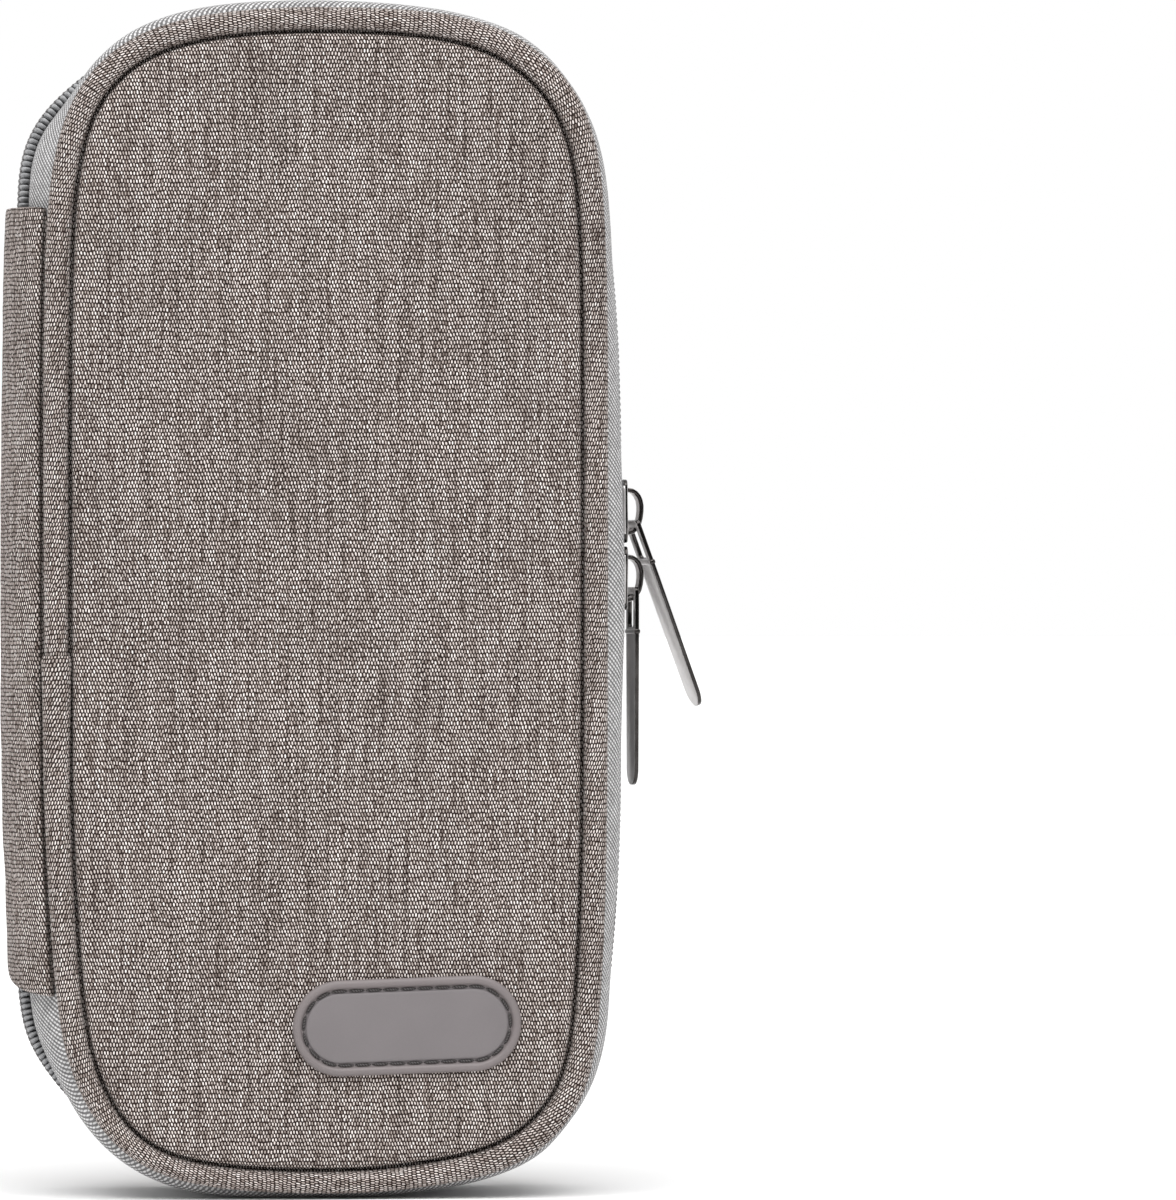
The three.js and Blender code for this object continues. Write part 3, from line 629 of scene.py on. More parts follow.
def elastic_mat(name):
    """Knitted elastic: fine cords along its length with a stitch across them."""
    m = Mat(name)
    u, v, vec = m.uv()
    cord = m.math("ABSOLUTE", m.math("SINE", m.math("MULTIPLY", v, math.pi / 1.25)))
    skew = m.math("MULTIPLY_ADD", m.math("SIGN", m.math("SINE", m.math("MULTIPLY", v, TAU / 1.25))), 0.22, u)
    knit = m.math("SINE", m.math("MULTIPLY", skew, TAU / 0.62))
    h = m.math("MULTIPLY_ADD", knit, 0.22, cord)
    tone = m.span(h, -0.1, 1.1)
    col = m.mix(tone, (0.40, 0.395, 0.40), (0.72, 0.71, 0.72))
    col = m.mix(1.0, col, m.ramp(m.noise(vec, 0.15, 2.0), (0.25, 0.93), (0.75, 1.04)), "MULTIPLY")
    return m.done(Base_Color=col, Roughness=m.span(tone, 0, 1, 0.85, 0.68), Normal=m.bump(h, 0.0003, 0.6), Sheen_Weight=0.15, Sheen_Roughness=0.4)


def gel_mat(name):
    m = Mat(name)
    u, v, vec = m.uv()
    cloud = m.noise(vec, 0.05, 4.0, 0.6)
    wrinkle = m.noise(vec, 0.3, 3.0, 0.6)
    col = m.ramp(cloud, (0.25, (0.007, 0.078, 0.30)), (0.5, (0.011, 0.100, 0.37)), (0.78, (0.019, 0.130, 0.43)))
    return m.done(Base_Color=col, Roughness=m.math("MULTIPLY_ADD", wrinkle, 0.22, 0.20), Normal=m.bump(wrinkle, 0.0006, 0.35), Specular_IOR_Level=0.42,
                  Coat_Weight=0.1, Coat_Roughness=0.15)


def print_mat(name):
    m = Mat(name)
    p = m.place()
    n = m.noise(p, 0.6, 3.0)
    return m.done(Base_Color=m.mix(m.span(n, 0.3, 0.7), (0.66, 0.76, 0.88), (0.86, 0.91, 0.96)), Roughness=m.math("MULTIPLY_ADD", n, 0.2, 0.3))


def rubber(name):
    """Moulded soft rubber with a fine matt grain, the face a shade darker than the rim."""
    m = Mat(name)
    u, v, vec = m.uv()
    p = m.place()
    grain = m.noise(p, 5.5, 3.0, 0.6)
    cloud = m.noise(p, 0.12, 2.0)
    col = m.mix(m.span(u, 1.7, 2.1), (0.192, 0.168, 0.168), (0.178, 0.162, 0.166))
    col = m.mix(1.0, col, m.ramp(cloud, (0.3, 0.97), (0.7, 1.03)), "MULTIPLY")
    col = m.mix(1.0, col, m.ramp(grain, (0.3, 0.96), (0.7, 1.03)), "MULTIPLY")
    return m.done(Base_Color=col, Roughness=m.math("MULTIPLY_ADD", grain, 0.16, 0.44), Normal=m.bump(grain, 0.00004, 0.3), Specular_IOR_Level=0.4)


def metal(name):
    """Polished plating with hair scratches and a little tarnish, and a painted dark reflection on the marked narrow
    faces.
    """
    m = Mat(name)
    u, v, vec = m.uv()
    p = m.place()
    tarnish = m.noise(p, 0.5, 4.0, 0.6)
    s = m.node("ShaderNodeVectorMath", operation="MULTIPLY")
    m.put(s.inputs[0], p)
    m.put(s.inputs[1], (9.0, 9.0, 0.5))
    hair = m.noise(s.outputs[0], 1.0, 3.0, 0.7)
    face = m.ramp(tarnish, (0.25, (0.56, 0.544, 0.540)), (0.75, (0.68, 0.664, 0.660)))
    # painted reflection: the marked narrow faces get a near-black colour standing in for dark surroundings mirrored
    # in the plating
    edge = m.ramp(tarnish, (0.25, (0.030, 0.027, 0.026)), (0.75, (0.075, 0.070, 0.068)))
    return m.done(Base_Color=m.mix(u, face, edge), Metallic=m.span(u, 0, 1, 0.75, 1.0), Roughness=m.math("ADD", m.math("MULTIPLY_ADD", hair, 0.10, 0.04), m.span(u, 0, 1, 0.28, 0.04)), Normal=m.bump(hair, 0.000012, 0.25))


FABRIC = fabric("melange_fabric")
TAPE = tape_weave("twill_tape")
COIL = nylon("coil_nylon", (0.24, 0.244, 0.25), (0.37, 0.373, 0.38))
SEW = thread("sewing_thread_grey", (0.10, 0.095, 0.095), (0.26, 0.25, 0.25))
DARK_SEW = thread("sewing_thread_dark", (0.018, 0.015, 0.015), (0.085, 0.078, 0.077))
PALE_SEW = thread("sewing_thread_pale", (0.40, 0.40, 0.41), (0.72, 0.72, 0.73))
FOIL = foil("foil_lining")
FOIL_FLAT = foil("foil_taut", 0.45)
FOAM = foam_mat("insulating_foam")
YARN = mesh_yarn("mesh_yarn")
ELASTIC = elastic_mat("ribbed_elastic")
GEL = gel_mat("gel_pouch_film")
PRINT = print_mat("pouch_print")
RUBBER = rubber("badge_rubber")
METAL = metal("polished_plating")

HALVES = (("back", 1, "base"), ("front", -1, "lid"))


def weld(o):
    bm = bmesh.new()
    bm.from_mesh(o.data)
    bmesh.ops.remove_doubles(bm, verts=bm.verts, dist=1e-6)
    bmesh.ops.dissolve_degenerate(bm, edges=bm.edges, dist=1e-7)
    bmesh.ops.recalc_face_normals(bm, faces=bm.faces)
    bm.to_mesh(o.data)
    bm.free()
    o.data.polygons.foreach_set("use_smooth", [True] * len(o.data.polygons))


def weld_normals(o):
    bm = bmesh.new()
    bm.from_mesh(o.data)
    bmesh.ops.recalc_face_normals(bm, faces=bm.faces)
    bm.to_mesh(o.data)
    bm.free()


def flip_faces(faces, uvs):
    out, at = [], 0
    for f in faces:
        out += list(uvs[at:at + len(f)])[::-1]
        at += len(f)
    return [f[::-1] for f in faces], out


# ------------------------------------------------------------- fabric panels
BADGE = dict(x=13.5, z=29.0, r=8.0, c=11.1, tilt=math.radians(2.0))


def panel(side, s, body):
    """The padded outer panel: a closed cover that is drawn down into the seam all round and swells a little over its foam."""
    n = 300
    base = ring_points(GROOVE, n)
    nor = line_normals(base, True)
    # how far in from the middle of the groove, and how far from the parting plane
    edge = [(-1.25, 16.72), (-0.6, 16.86), (-0.05, 17.0), (0.26, 17.3), (0.33, 17.8), (0.32, 18.4), (0.29, 18.9), (0.31, 19.3), (0.42, 19.66), (0.62, 19.95), (0.90, 20.18), (1.25, 20.34),
            (1.7, 20.44), (2.3, 20.50), (3.2, 20.54), (4.6, 20.57), (6.5, 20.59), (8.6, 20.60), (11.0, 20.60)]
    rear = [(-1.25, 16.72), (-1.2, 16.5), (1.6, 16.5), (1.8, 19.25), (4.2, 19.25), (11.0, 19.25)]
    b = Build()
    for rows, flip in ((edge, False), (rear, True)):
        g = np.array([np.stack([(base - nor * e)[:, 0], np.full(n, y), (base - nor * e)[:, 1]], 1) for e, y in rows])
        # the weave runs on down the wall of the seam without stretching
        flat = rows[-1][0] - line_length(np.array(rows[::-1], float))[::-1]
        cloth = np.array([base - nor * e for e in flat])
        b.grid(g, np.concatenate([cloth, cloth[:, :1]], 1), wrap_v=True, flip=flip)
        b.grid(across(g[-1], 34), None)
    v = np.vstack(b.v)
    v[:, 1] *= s
    o = make(f"{side}_panel_cover", v, b.f, FABRIC, None, b.uv)
    weld(o)
    co = np.array([p.co for p in o.data.vertices], float) * 1000
    d = np.abs(co[:, 1])
    hold = np.where(d < 19.4, 1.0, np.clip((20.56 - d) / 0.6, 0, 1))
    if s < 0:
        x, z = co[:, 0] - SHIFT - BADGE["x"], co[:, 2] - BADGE["z"]
        run = np.hypot(np.maximum(np.abs(x) - BADGE["c"], 0), z)
        hold = np.maximum(hold, smooth(BADGE["r"] + 2.5, BADGE["r"], run))
    print("panel", side, inflate(o, hold, 1.2, 0.0005, frames=14, bend=4.0, tension=40.0))
    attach(o, body)
    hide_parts(f"{side}_panel")
    return o


def foam(side, s, body):
    """The insulating sheet between the panel and the lining."""
    n = 200
    base = ring_points(GROOVE, n)
    nor = line_normals(base, True)
    b = Build()
    rows = [(2.2, 16.35), (2.0, 16.5), (2.0, 18.95), (2.2, 19.1)]
    g = np.array([np.stack([(base - nor * e)[:, 0], np.full(n, y), (base - nor * e)[:, 1]], 1) for e, y in rows])
    b.grid(g, None, wrap_v=True)
    for e in (0, -1):
        inner = g[e] - np.stack([nor[:, 0], np.zeros(n), nor[:, 1]], 1) * 8
        b.grid(np.stack([g[e], inner], 0), None, wrap_v=True)
        b.grid(across(inner, 16), None)
    v = np.vstack(b.v)
    v[:, 1] *= s
    o = make(f"{side}_foam_sheet", v, b.f, FOAM, None, b.uv)
    weld(o)
    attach(o, body)
    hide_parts(f"{side}_foam")


# -------------------------------------------------------------------- piping
def piping(side, s, body, join):
    """A fabric-covered cord round the panel. Its two ends meet on the left, the lower one folded over the upper."""
    mid = GROOVE + GROOVE_NORMAL * (ROLL / 2 + 0.14)[:, None]
    start = int(np.argmin(np.where(mid[:, 0] < 0, np.abs(mid[:, 1] - join), 1e9)))
    loop = np.roll(mid, -start, 0)
    extra = loop[:40]
    extra = extra[line_length(extra) < 6.0]
    whole = np.vstack([loop, loop[:1], extra[1:]])
    wide = np.concatenate([np.roll(ROLL, -start), ROLL[start:start + 1], np.roll(ROLL, -start)[1:len(extra)]])
    ln0 = line_length(whole)
    line = resample(whole, 760, False, step=6.0)
    ln = line_length(line) * ln0[-1] / line_length(line)[-1]
    total = ln[-1]
    nor = line_normals(line, False)
    from_end = total - ln
    r = np.interp(ln, ln0, wide) / 2 - 0.16
    r += 0.50 * np.exp(-ln / 15.0)
    r -= 0.10 * np.exp(-np.maximum(from_end - 6.5, 0) / 12.0)
    r = np.where(from_end < 6.4, np.minimum(r, 1.85), r)
    # the folded end closes in over half a millimetre
    r *= np.where(ln < 0.2, np.sqrt(0.84 + 0.16 * np.clip(ln / 0.2, 0, 1)), 1.0)
    sides = 24
    th = math.pi / 2 + 0.9 + TAU * np.arange(sides) / sides      # the seam of the wrap lies on the inner side
    rows = np.zeros((len(line), sides, 3))
    for i, (x, z) in enumerate(line):
        for j in range(sides):
            wob = 1 + 0.016 * perlin(ln[i] * 0.35, j * 0.9, 3.1 * s) + 0.012 * perlin(ln[i] * 1.3, j * 0.6, 9.4)
            c, d = math.cos(th[j]), math.sin(th[j])
            rows[i, j] = (x + nor[i, 0] * r[i] * wob * c, 18.6 + r[i] * wob * d, z + nor[i, 1] * r[i] * wob * c)
    rows[..., 2] = np.maximum(rows[..., 2], 0.0)
    skew = math.tan(math.radians(7))
    uv = [[(TAU * j / sides * 2.2 + skew * ln[i], ln[i] / 1.08) for j in range(sides + 1)] for i in range(len(line))]
    b = Build()
    b.grid(rows, uv, wrap_v=True)
    for e, flip in ((0, True), (-1, False)):
        ring_ = rows[e]
        cap = np.vstack([ring_, [ring_.mean(0)]])
        f = [[j, (j + 1) % sides, sides] for j in range(sides)]
        b.add(cap, [q[::-1] for q in f] if flip else f, [(cap[i][0], cap[i][2]) for q in f for i in q])
    v = np.vstack(b.v)
    v[:, 1] *= s
    faces, uvs = b.f, b.uv
    if s > 0:
        faces, uvs = flip_faces(faces, uvs)
    o = make(f"{side}_piping_roll", v, faces, FABRIC, None, uvs, (f"{side}_piping",))
    weld(o)
    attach(o, body)
    return o


# ------------------------------------------------------------------ zip tape
RUN = 480
TAPE_ENDS = (40.0, 161.0)
MID_RUN = resample(open_run(CHAIN, *TAPE_ENDS), RUN, False)
MID_NORMAL = line_normals(MID_RUN, False)
MID_LENGTH = line_length(MID_RUN)
_seam = PIPE - GROOVE_NORMAL * 0.6
LOW_RUN = np.array([_seam[int(np.argmin(np.hypot(_seam[:, 0] - x, _seam[:, 1] - z)))] for x, z in MID_RUN])
for _ in range(3):
    LOW_RUN[1:-1] = (LOW_RUN[:-2] + 2 * LOW_RUN[1:-1] + LOW_RUN[2:]) / 4
# how far the edge of the tape lies below the crest of the coil, and how far the tape swells between piping and coil
EDGE_DROP = 0.6 + 1.1 * smooth(0, -40, MID_RUN[:, 0])
TAPE_EDGE = MID_RUN - MID_NORMAL * EDGE_DROP[:, None]
SWELL = np.where(MID_NORMAL[:, 0] > 0, 1.0, 0.3) * smooth(0.2, 0.8, np.abs(MID_NORMAL[:, 0])) * np.interp(
    MID_RUN[:, 1], [25, 30, 40, 50, 60, 75, 85, 95, 108, 115, 125, 133, 147, 160, 168, 176], [0.2, 0.4, 0.5, 0.6, 0.7, 0.85, 1.15, 1.42, 1.42, 1.2, 0.85, 0.72, 0.6, 0.45, 0.35, 0.2])
_base = LOW_RUN + 0.43 * (TAPE_EDGE - LOW_RUN)
EARLY = []
for _p, _n, _w in zip(_base, MID_NORMAL, SWELL):
    _q = BULGE[int(np.argmin(np.hypot(BULGE[:, 0] - _p[0] - 0.8 * _n[0], BULGE[:, 1] - _p[1] - 0.8 * _n[1])))]
    EARLY.append(min(max(float((_q - _p) @ _n) - 0.78 * _w, 0.0), 2.6))
EARLY = np.convolve(np.concatenate([[EARLY[0]] * 6, EARLY, [EARLY[-1]] * 6]), np.hanning(13) / np.hanning(13).sum(), "valid")


def wall_point(t, inset):
    """A line of the wall at t, 0 at the piping seam and 1 at the coil, set in by inset."""
    q = min(max(t, 0), 1)
    p = LOW_RUN + math.sin(q * math.pi / 2) * (TAPE_EDGE - LOW_RUN)
    p = p + MID_NORMAL * (SWELL * math.sin(math.pi * q) + EARLY * math.sin(math.pi * q ** 0.55) - inset)[:, None]
    out = np.stack([p[:, 0], np.full(RUN, 15.9 + t * (3.7 - 15.9)), p[:, 1]], 1)
    out[:, 2] = np.maximum(out[:, 2], 0.05 + np.maximum(inset, 0))
    return out


def zip_tape(side, s, body):
    ts = [-0.10, -0.03, 0.02, 0.06, 0.11, 0.17, 0.24, 0.32, 0.42, 0.53, 0.66, 0.78, 0.88, 0.96, 1.0]
    tuck = np.maximum(1.95 - EDGE_DROP, 0.3)
    outer = np.stack([wall_point(t, 0.0 if t > 0 else 0.25) for t in ts] + [wall_point(1.02, tuck * 0.9), wall_point(1.27, tuck)], 1)
    inner = np.stack([wall_point(t, 1.0) for t in ts] + [wall_point(1.02, tuck + 0.75), wall_point(1.27, tuck + 0.7)], 1)
    # a slow ripple along the tape
    for i in range(RUN):
        w = 0.14 * perlin(MID_LENGTH[i] * 0.045, 7.0 * s, 1.0)
        for g in (outer, inner):
            g[i, 2:-3, 0] += MID_NORMAL[i, 0] * w
            g[i, 2:-3, 2] += MID_NORMAL[i, 1] * w * 0.4
    wide = np.concatenate([[0], np.cumsum(np.linalg.norm(np.diff(outer[RUN // 2], axis=0), axis=1))])
    uv = [[(MID_LENGTH[i], wide[j]) for j in range(len(wide))] for i in range(RUN)]
    for g in (outer, inner):
        g[..., 1] *= s
        g[..., 2] = np.maximum(g[..., 2], 0.03)
    b = Build()
    if s > 0:
        b.slab(outer, inner, uv)
    else:
        b.slab(outer[:, ::-1], inner[:, ::-1], [r[::-1] for r in uv])
    o = b.object(f"{side}_tape_weave", TAPE, body, (f"{side}_zip_tape",), "zip_tape")
    return o


# ----------------------------------------------------------------- zip chain
def chain(side, s, body):
    """One half of a coil zip: slanted loops of nylon sewn along the edge of the tape."""
    line = resample(open_run(CHAIN, *TAPE_ENDS), 2400, False, turn=0, step=1)
    ln = line_length(line)
    nor = line_normals(line, False)
    pitch = 1.02
    count = int(ln[-1] / pitch)
    off = 0.0 if s > 0 else pitch / 2
    at = off + pitch * np.arange(count)
    at = at[at < ln[-1] - 0.5]
    px, pz = np.interp(at, ln, line[:, 0]), np.interp(at, ln, line[:, 1])
    nx, nz = np.interp(at, ln, nor[:, 0]), np.interp(at, ln, nor[:, 1])
    # (depth in y, half width along the chain, outer height, inner height, lean along the chain)
    sect = [(3.5, 0.12, -0.80, -1.2, -0.50), (3.3, 0.25, -0.36, -1.5, -0.46), (2.8, 0.38, -0.06, -1.75, -0.32), (1.7, 0.48, 0.05, -1.8, -0.05),
            (0.65, 0.48, 0.03, -1.75, 0.18), (0.1, 0.45, -0.10, -1.6, 0.26), (-0.28, 0.25, -0.5, -1.2, 0.28)]
    ring_ = [(-1, 0.80), (-0.70, 0.96), (0, 1.0), (0.70, 0.96), (1, 0.80), (0.8, 0.0), (-0.8, 0.0)]
    k = len(ring_)
    b = Build()
    for i in range(len(at)):
        t = np.array([-nz[i], nx[i]])
        rows = []
        for y, w, hi, lo, lean in sect:
            row = []
            for a, c in ring_:
                h = lo + c * (hi - lo)
                x = px[i] + t[0] * (a * w + lean) + nx[i] * h
                z = pz[i] + t[1] * (a * w + lean) + nz[i] * h
                row.append((x, s * y, max(z, 0.1)))
            rows.append(row)
        g = np.array(rows)
        b.grid(g, [[(at[i] + q, y[0]) for q in range(k + 1)] for y in sect], wrap_v=True, flip=s > 0)
        for e in (0, -1):
            f = list(range(k))
            b.add(g[e], [f if (e == 0) == (s < 0) else f[::-1]])
    o = b.object(f"{side}_coil_teeth", COIL, body, (f"{side}_zip_chain",), "zip_coil", join=True)
    # the sewing thread over the coil
    b = Build()
    m = 1900
    q = np.linspace(0.3, ln[-1] - 0.3, m)
    x, z = np.interp(q, ln, line[:, 0]), np.interp(q, ln, line[:, 1])
    ax, az = np.interp(q, ln, nor[:, 0]), np.interp(q, ln, nor[:, 1])
    h = -0.04 + 0.08 * np.cos(TAU * (q - off) / pitch)
    for depth in (1.55, 2.45):
        path = np.stack([x + ax * h, np.full(m, s * depth), np.maximum(z + az * h, 0.15)], 1)
        b.tube(path, 0.15, 5)
    t = b.object(f"{side}_coil_stitch", SEW, body, join=True)
    return o, t


# --------------------------------------------------------------------- spine
_left = PIPE[(PIPE[:, 0] < -35) & (PIPE[:, 1] > 22) & (PIPE[:, 1] < 180)]
_left = _left[np.argsort(_left[:, 1])]


def spine():
    """A padded strip of the panel's fabric, bowed outwards between the two rolls of piping, with its long edges
    hemmed inwards and sewn to the rolls by a narrow flap on each side."""
    half, phi, hem = 16.7, math.radians(47), 4.4
    fine = np.linspace(0, 1, 281)
    turn_at = 0.86

    def beside(z):
        return float(np.interp(z, _left[:, 1], _left[:, 0]))

    def across(z, qs, inset=0.0, chord=1.0):
        """Places across the spine at height z, q from -1 at the front to 1 at the back, moved inwards by inset."""
        out = float(np.interp(z, [34, 39, 46, 53, 63, 80, 115, 134, 153, 166], [-52.3, -52.5, -52.7, -52.95, -53.4, -53.65, -53.7, -53.5, -53.25, -52.85]))
        sag = beside(z) - 1.45 - out
        t = np.minimum(fine / turn_at, 1) * phi
        x = out + sag * (1 - np.cos(t)) / (1 - math.cos(phi))
        y = half * np.sin(t) / math.sin(phi)
        # the hem turns in beside the roll
        first = math.atan2(sag * math.sin(phi) / (1 - math.cos(phi)), half * math.cos(phi) / math.sin(phi))
        s = np.clip(fine - turn_at, 0, None) / (1 - turn_at) * hem
        way = first + (math.radians(166) - first) * smooth(0, 1.5, s)
        ds = np.diff(s, prepend=0)
        x = x + np.cumsum(np.sin(way) * ds)
        y = y + np.cumsum(np.cos(way) * ds)
        tx, ty = np.gradient(x), np.gradient(y)
        l = np.hypot(tx, ty)
        a = np.abs(qs) * chord
        px, py = np.interp(a, fine, x), np.interp(a, fine, y)
        nx, ny = np.interp(a, fine, -ty / l), np.interp(a, fine, tx / l)
        return px - nx * inset, (py - ny * inset) * np.sign(qs)

    m, k = 150, 96
    f = np.linspace(0, 1, m)
    f = f - 0.5 * np.sin(TAU * f) / TAU     # more rows near the ends
    qs = np.linspace(1, -1, k)
    qs = np.sign(qs) * (1 - (1 - np.abs(qs)) ** 1.35)
    front, behind = np.zeros((m, k, 3)), np.zeros((m, k, 3))
    run = np.stack(across(100, qs), 1)
    arc = line_length(run)
    thick = 1.05 - 0.7 * smooth(0.78, 0.9, np.abs(qs))
    for i in range(m):
        low, top = 34.0 + 3.3 * (1 - np.abs(qs)) ** 2.2, 165.7 - 0.5 * qs * qs
        z = low + (top - low) * f[i]
        end = np.minimum(z - low, top - z)
        for j, q in enumerate(qs):
            pucker = 0.10 * perlin(z[j] * 0.16, arc[j] * 0.12, 2.0) + 0.06 * perlin(z[j] * 0.5, arc[j] * 0.4, 5.0)
            inset = -pucker * (1 - float(smooth(0.8, 0.9, abs(q)))) + 0.22 * math.exp(-end[j] / 0.5)
            one = qs[j:j + 1]
            x, y = across(z[j], one, inset)
            front[i, j] = (x[0], y[0], z[j])
            # the end hems lie on the zip tape, to both sides of the chain
            wide = abs(front[i, j, 1])
            hem_in = 0.9 * float(smooth(3.4, 5.2, wide) * (1 - smooth(12.0, 14.5, wide))) * math.exp(-(end[j] / 1.5) ** 2)
            x, y = across(z[j], one, inset + thick[j] + hem_in)
            behind[i, j] = (x[0], y[0], z[j])
    uv = [[(arc[j] * 0.80, front[i, j, 2]) for j in range(k)] for i in range(m)]
    b = Build()
    b.slab(front[:, ::-1], behind[:, ::-1], [x[::-1] for x in uv], rim=0.15)
    o = b.object("spine_cover", FABRIC, "spine", ("spine_panel",), "melange_fabric")
    # the flaps that hold the strip to the two halves
    for side, s, body in HALVES:
        m, k = 90, 14
        front, behind = np.zeros((m, k, 3)), np.zeros((m, k, 3))
        shape = resample(np.array([(-0.35, 15.5), (0.25, 15.45), (1.0, 15.65), (1.8, 16.0), (2.7, 16.3), (3.5, 16.38)]), k, False, turn=0, step=1)
        for i in range(m):
            z = 35.5 + (164.0 - 35.5) * i / (m - 1)
            for j, (x, y) in enumerate(shape):
                front[i, j] = (beside(z) + x, s * y, z)
                behind[i, j] = (beside(z) + x, s * (y - 0.35), z)
        uv = [[(shape[j, 0] * 1.8, front[i, j, 2]) for j in range(k)] for i in range(m)]
        b = Build()
        if s < 0:
            b.slab(front, behind, uv, rim=0.08)
        else:
            b.slab(front[:, ::-1], behind[:, ::-1], [x[::-1] for x in uv], rim=0.08)
        flap = b.object(f"{side}_spine_flap", FABRIC, None, (), "melange_fabric")
        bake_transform(flap)
    # pleated foil inside the spine
    m, k = 130, 60
    qs = np.linspace(1, -1, k)
    front, behind = np.zeros((m, k, 3)), np.zeros((m, k, 3))
    for i in range(m):
        z = 38.6 + (162.6 - 38.6) * i / (m - 1)
        end = min(z - 38.6, 162.6 - z)
        for j, q in enumerate(qs):
            wave = 0.34 * math.sin(q * 10.5 + 0.9 * perlin(z * 0.03, 0, 4)) + 0.22 * perlin(z * 0.12, q * 4, 8.0)
            wave *= float(smooth(0, 4, end))
            one = qs[j:j + 1]
            x, y = across(z, one, 2.0 - wave, 0.80)
            front[i, j] = (x[0], y[0], z)
            x, y = across(z, one, 2.4 - wave, 0.80)
            behind[i, j] = (x[0], y[0], z)
    uv = [[(q * 17, front[i, j, 2]) for j, q in enumerate(qs)] for i in range(m)]
    b = Build()
    b.slab(front[:, ::-1], behind[:, ::-1], [x[::-1] for x in uv], rim=0.1)
    lining = b.object("spine_foil", FOIL, "spine", ("spine_lining",), "foil_lining")


# ------------------------------------------------------------------ linings
def linings(side, s, body):
    # floor: a taut foil sheet over the foam
    n = 220
    base = ring_points(PIPE, n)
    nor = line_normals(base, True)
    inset = [2.8, 3.6, 4.8, 6.4, 8.7, 11.5, 14.5]
    top = np.array([np.stack([(base - nor * e)[:, 0], np.full(n, 15.6), (base - nor * e)[:, 1]], 1) for e in inset])
    fill = across(top[-1], 26)

    def settle(g, first):
        for i in range(g.shape[0]):
            fade = float(smooth(0, 3, i + first))
            for j in range(g.shape[1]):
                g[i, j, 1] -= fade * (0.05 + 0.1 * perlin(g[i, j, 0] * 0.11, g[i, j, 2] * 0.11, 4.0 + s))
    settle(top, 0)
    settle(fill, 9)
    low, low_fill = top.copy(), fill.copy()
    low[..., 1] = low_fill[..., 1] = 16.05
    b = Build()
    for g in (top, low, np.stack([top[0], low[0]], 0)):
        b.grid(g, None, wrap_v=True)
    b.grid(fill, None)
    b.grid(low_fill, None)
    v = np.vstack(b.v)
    v[:, 1] *= s
    o = make(f"{side}_floor_foil", v, b.f, FOIL_FLAT, None, b.uv)
    weld(o)
    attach(o, body)
    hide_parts(f"{side}_floor_lining")
    # wall: foil inside the tape
    ts = [0.06, 0.15, 0.27, 0.40, 0.53, 0.66, 0.78, 0.90]
    outer = np.stack([wall_point(t, 1.25) for t in ts], 1)
    inner = np.stack([wall_point(t, 1.65) for t in ts], 1)
    for i in range(RUN):
        for j in range(len(ts)):
            w = 0.16 * perlin(MID_LENGTH[i] * 0.16, j * 0.8, 6.0 + s) + 0.12 * perlin(MID_LENGTH[i] * 0.5, j * 0.7, 2.0 + s)
            w -= 0.08
            outer[i, j, [0, 2]] -= MID_NORMAL[i] * max(w + 0.28, 0.0)
            inner[i, j, [0, 2]] -= MID_NORMAL[i] * max(w + 0.28, 0.0)
    wide = np.concatenate([[0], np.cumsum(np.linalg.norm(np.diff(outer[RUN // 2], axis=0), axis=1))])
    uv = [[(MID_LENGTH[i], wide[j]) for j in range(len(wide))] for i in range(RUN)]
    outer[..., 1] *= s
    inner[..., 1] *= s
    b = Build()
    if s > 0:
        b.slab(outer, inner, uv)
    else:
        b.slab(outer[:, ::-1], inner[:, ::-1], [r[::-1] for r in uv])
    w = b.object(f"{side}_wall_foil", FOIL, body, (f"{side}_wall_lining",), "foil_lining")


# --------------------------------------------------------------- foil pocket
POCKET_TOP = 156.0


def foil_pocket(side, s, body):
    m, k = 112, 66
    zs = np.concatenate([np.linspace(4.2, 148.5, m - 14), np.linspace(149.2, POCKET_TOP, 14)])
    front, behind = np.zeros((m, k, 3)), np.zeros((m, k, 3))
    for i, z in enumerate(zs):
        hw = half_width(z, 3.6)
        for j in range(k):
            x = hw * (2 * j / (k - 1) - 1)
            edge = float(smooth(0, 7, hw - abs(x))) * float(smooth(0, 7, z - 4.2))
            crush = 0.24 * perlin(x * 0.07, z * 0.07, 3.0 + s) + 0.16 * (0.5 - abs(perlin(x * 0.13, z * 0.11, 8.0 + s)) * 2.2) + 0.06 * perlin(x * 0.4, z * 0.4, 1.0)
            hem = 0.30 * float(smooth(149.0, 149.6, z)) - 0.16 * math.exp(-((z - 150.4) / 0.4) ** 2)
            still = 1 - 0.85 * float(smooth(148, 151, z))
            y = 8.78 - edge * crush * still - hem * 0.8
            y = min(max(y, 8.25), 9.0)
            front[i, j] = (x, y, z)
            behind[i, j] = (x, y + 0.3 + 0.12 * float(smooth(149.0, 149.6, z)), z)
    uv = [[(front[i, j, 0], front[i, j, 2]) for j in range(k)] for i in range(m)]
    b = Build()
    front[..., 1] *= s
    behind[..., 1] *= s
    if s > 0:
        b.slab(front[:, ::-1], behind[:, ::-1], [r[::-1] for r in uv], rim=0.12)
    else:
        b.slab(front, behind, uv, rim=0.12)
    o = b.object(f"{side}_foil_pocket_sheet", FOIL, body, (f"{side}_foil_pocket",), "foil_lining")
    b = Build()
    hw = half_width(150.4, 3.6) - 1.5
    n = 27
    for i in range(n):
        a, c = -hw + 2 * hw * (i + 0.12) / n, -hw + 2 * hw * (i + 0.86) / n
        b.capsule((a, s * 8.56, 150.4), (c, s * 8.56, 150.4), 0.22, 6)
    b.object(f"{side}_pocket_stitches", PALE_SEW, body, join=True)


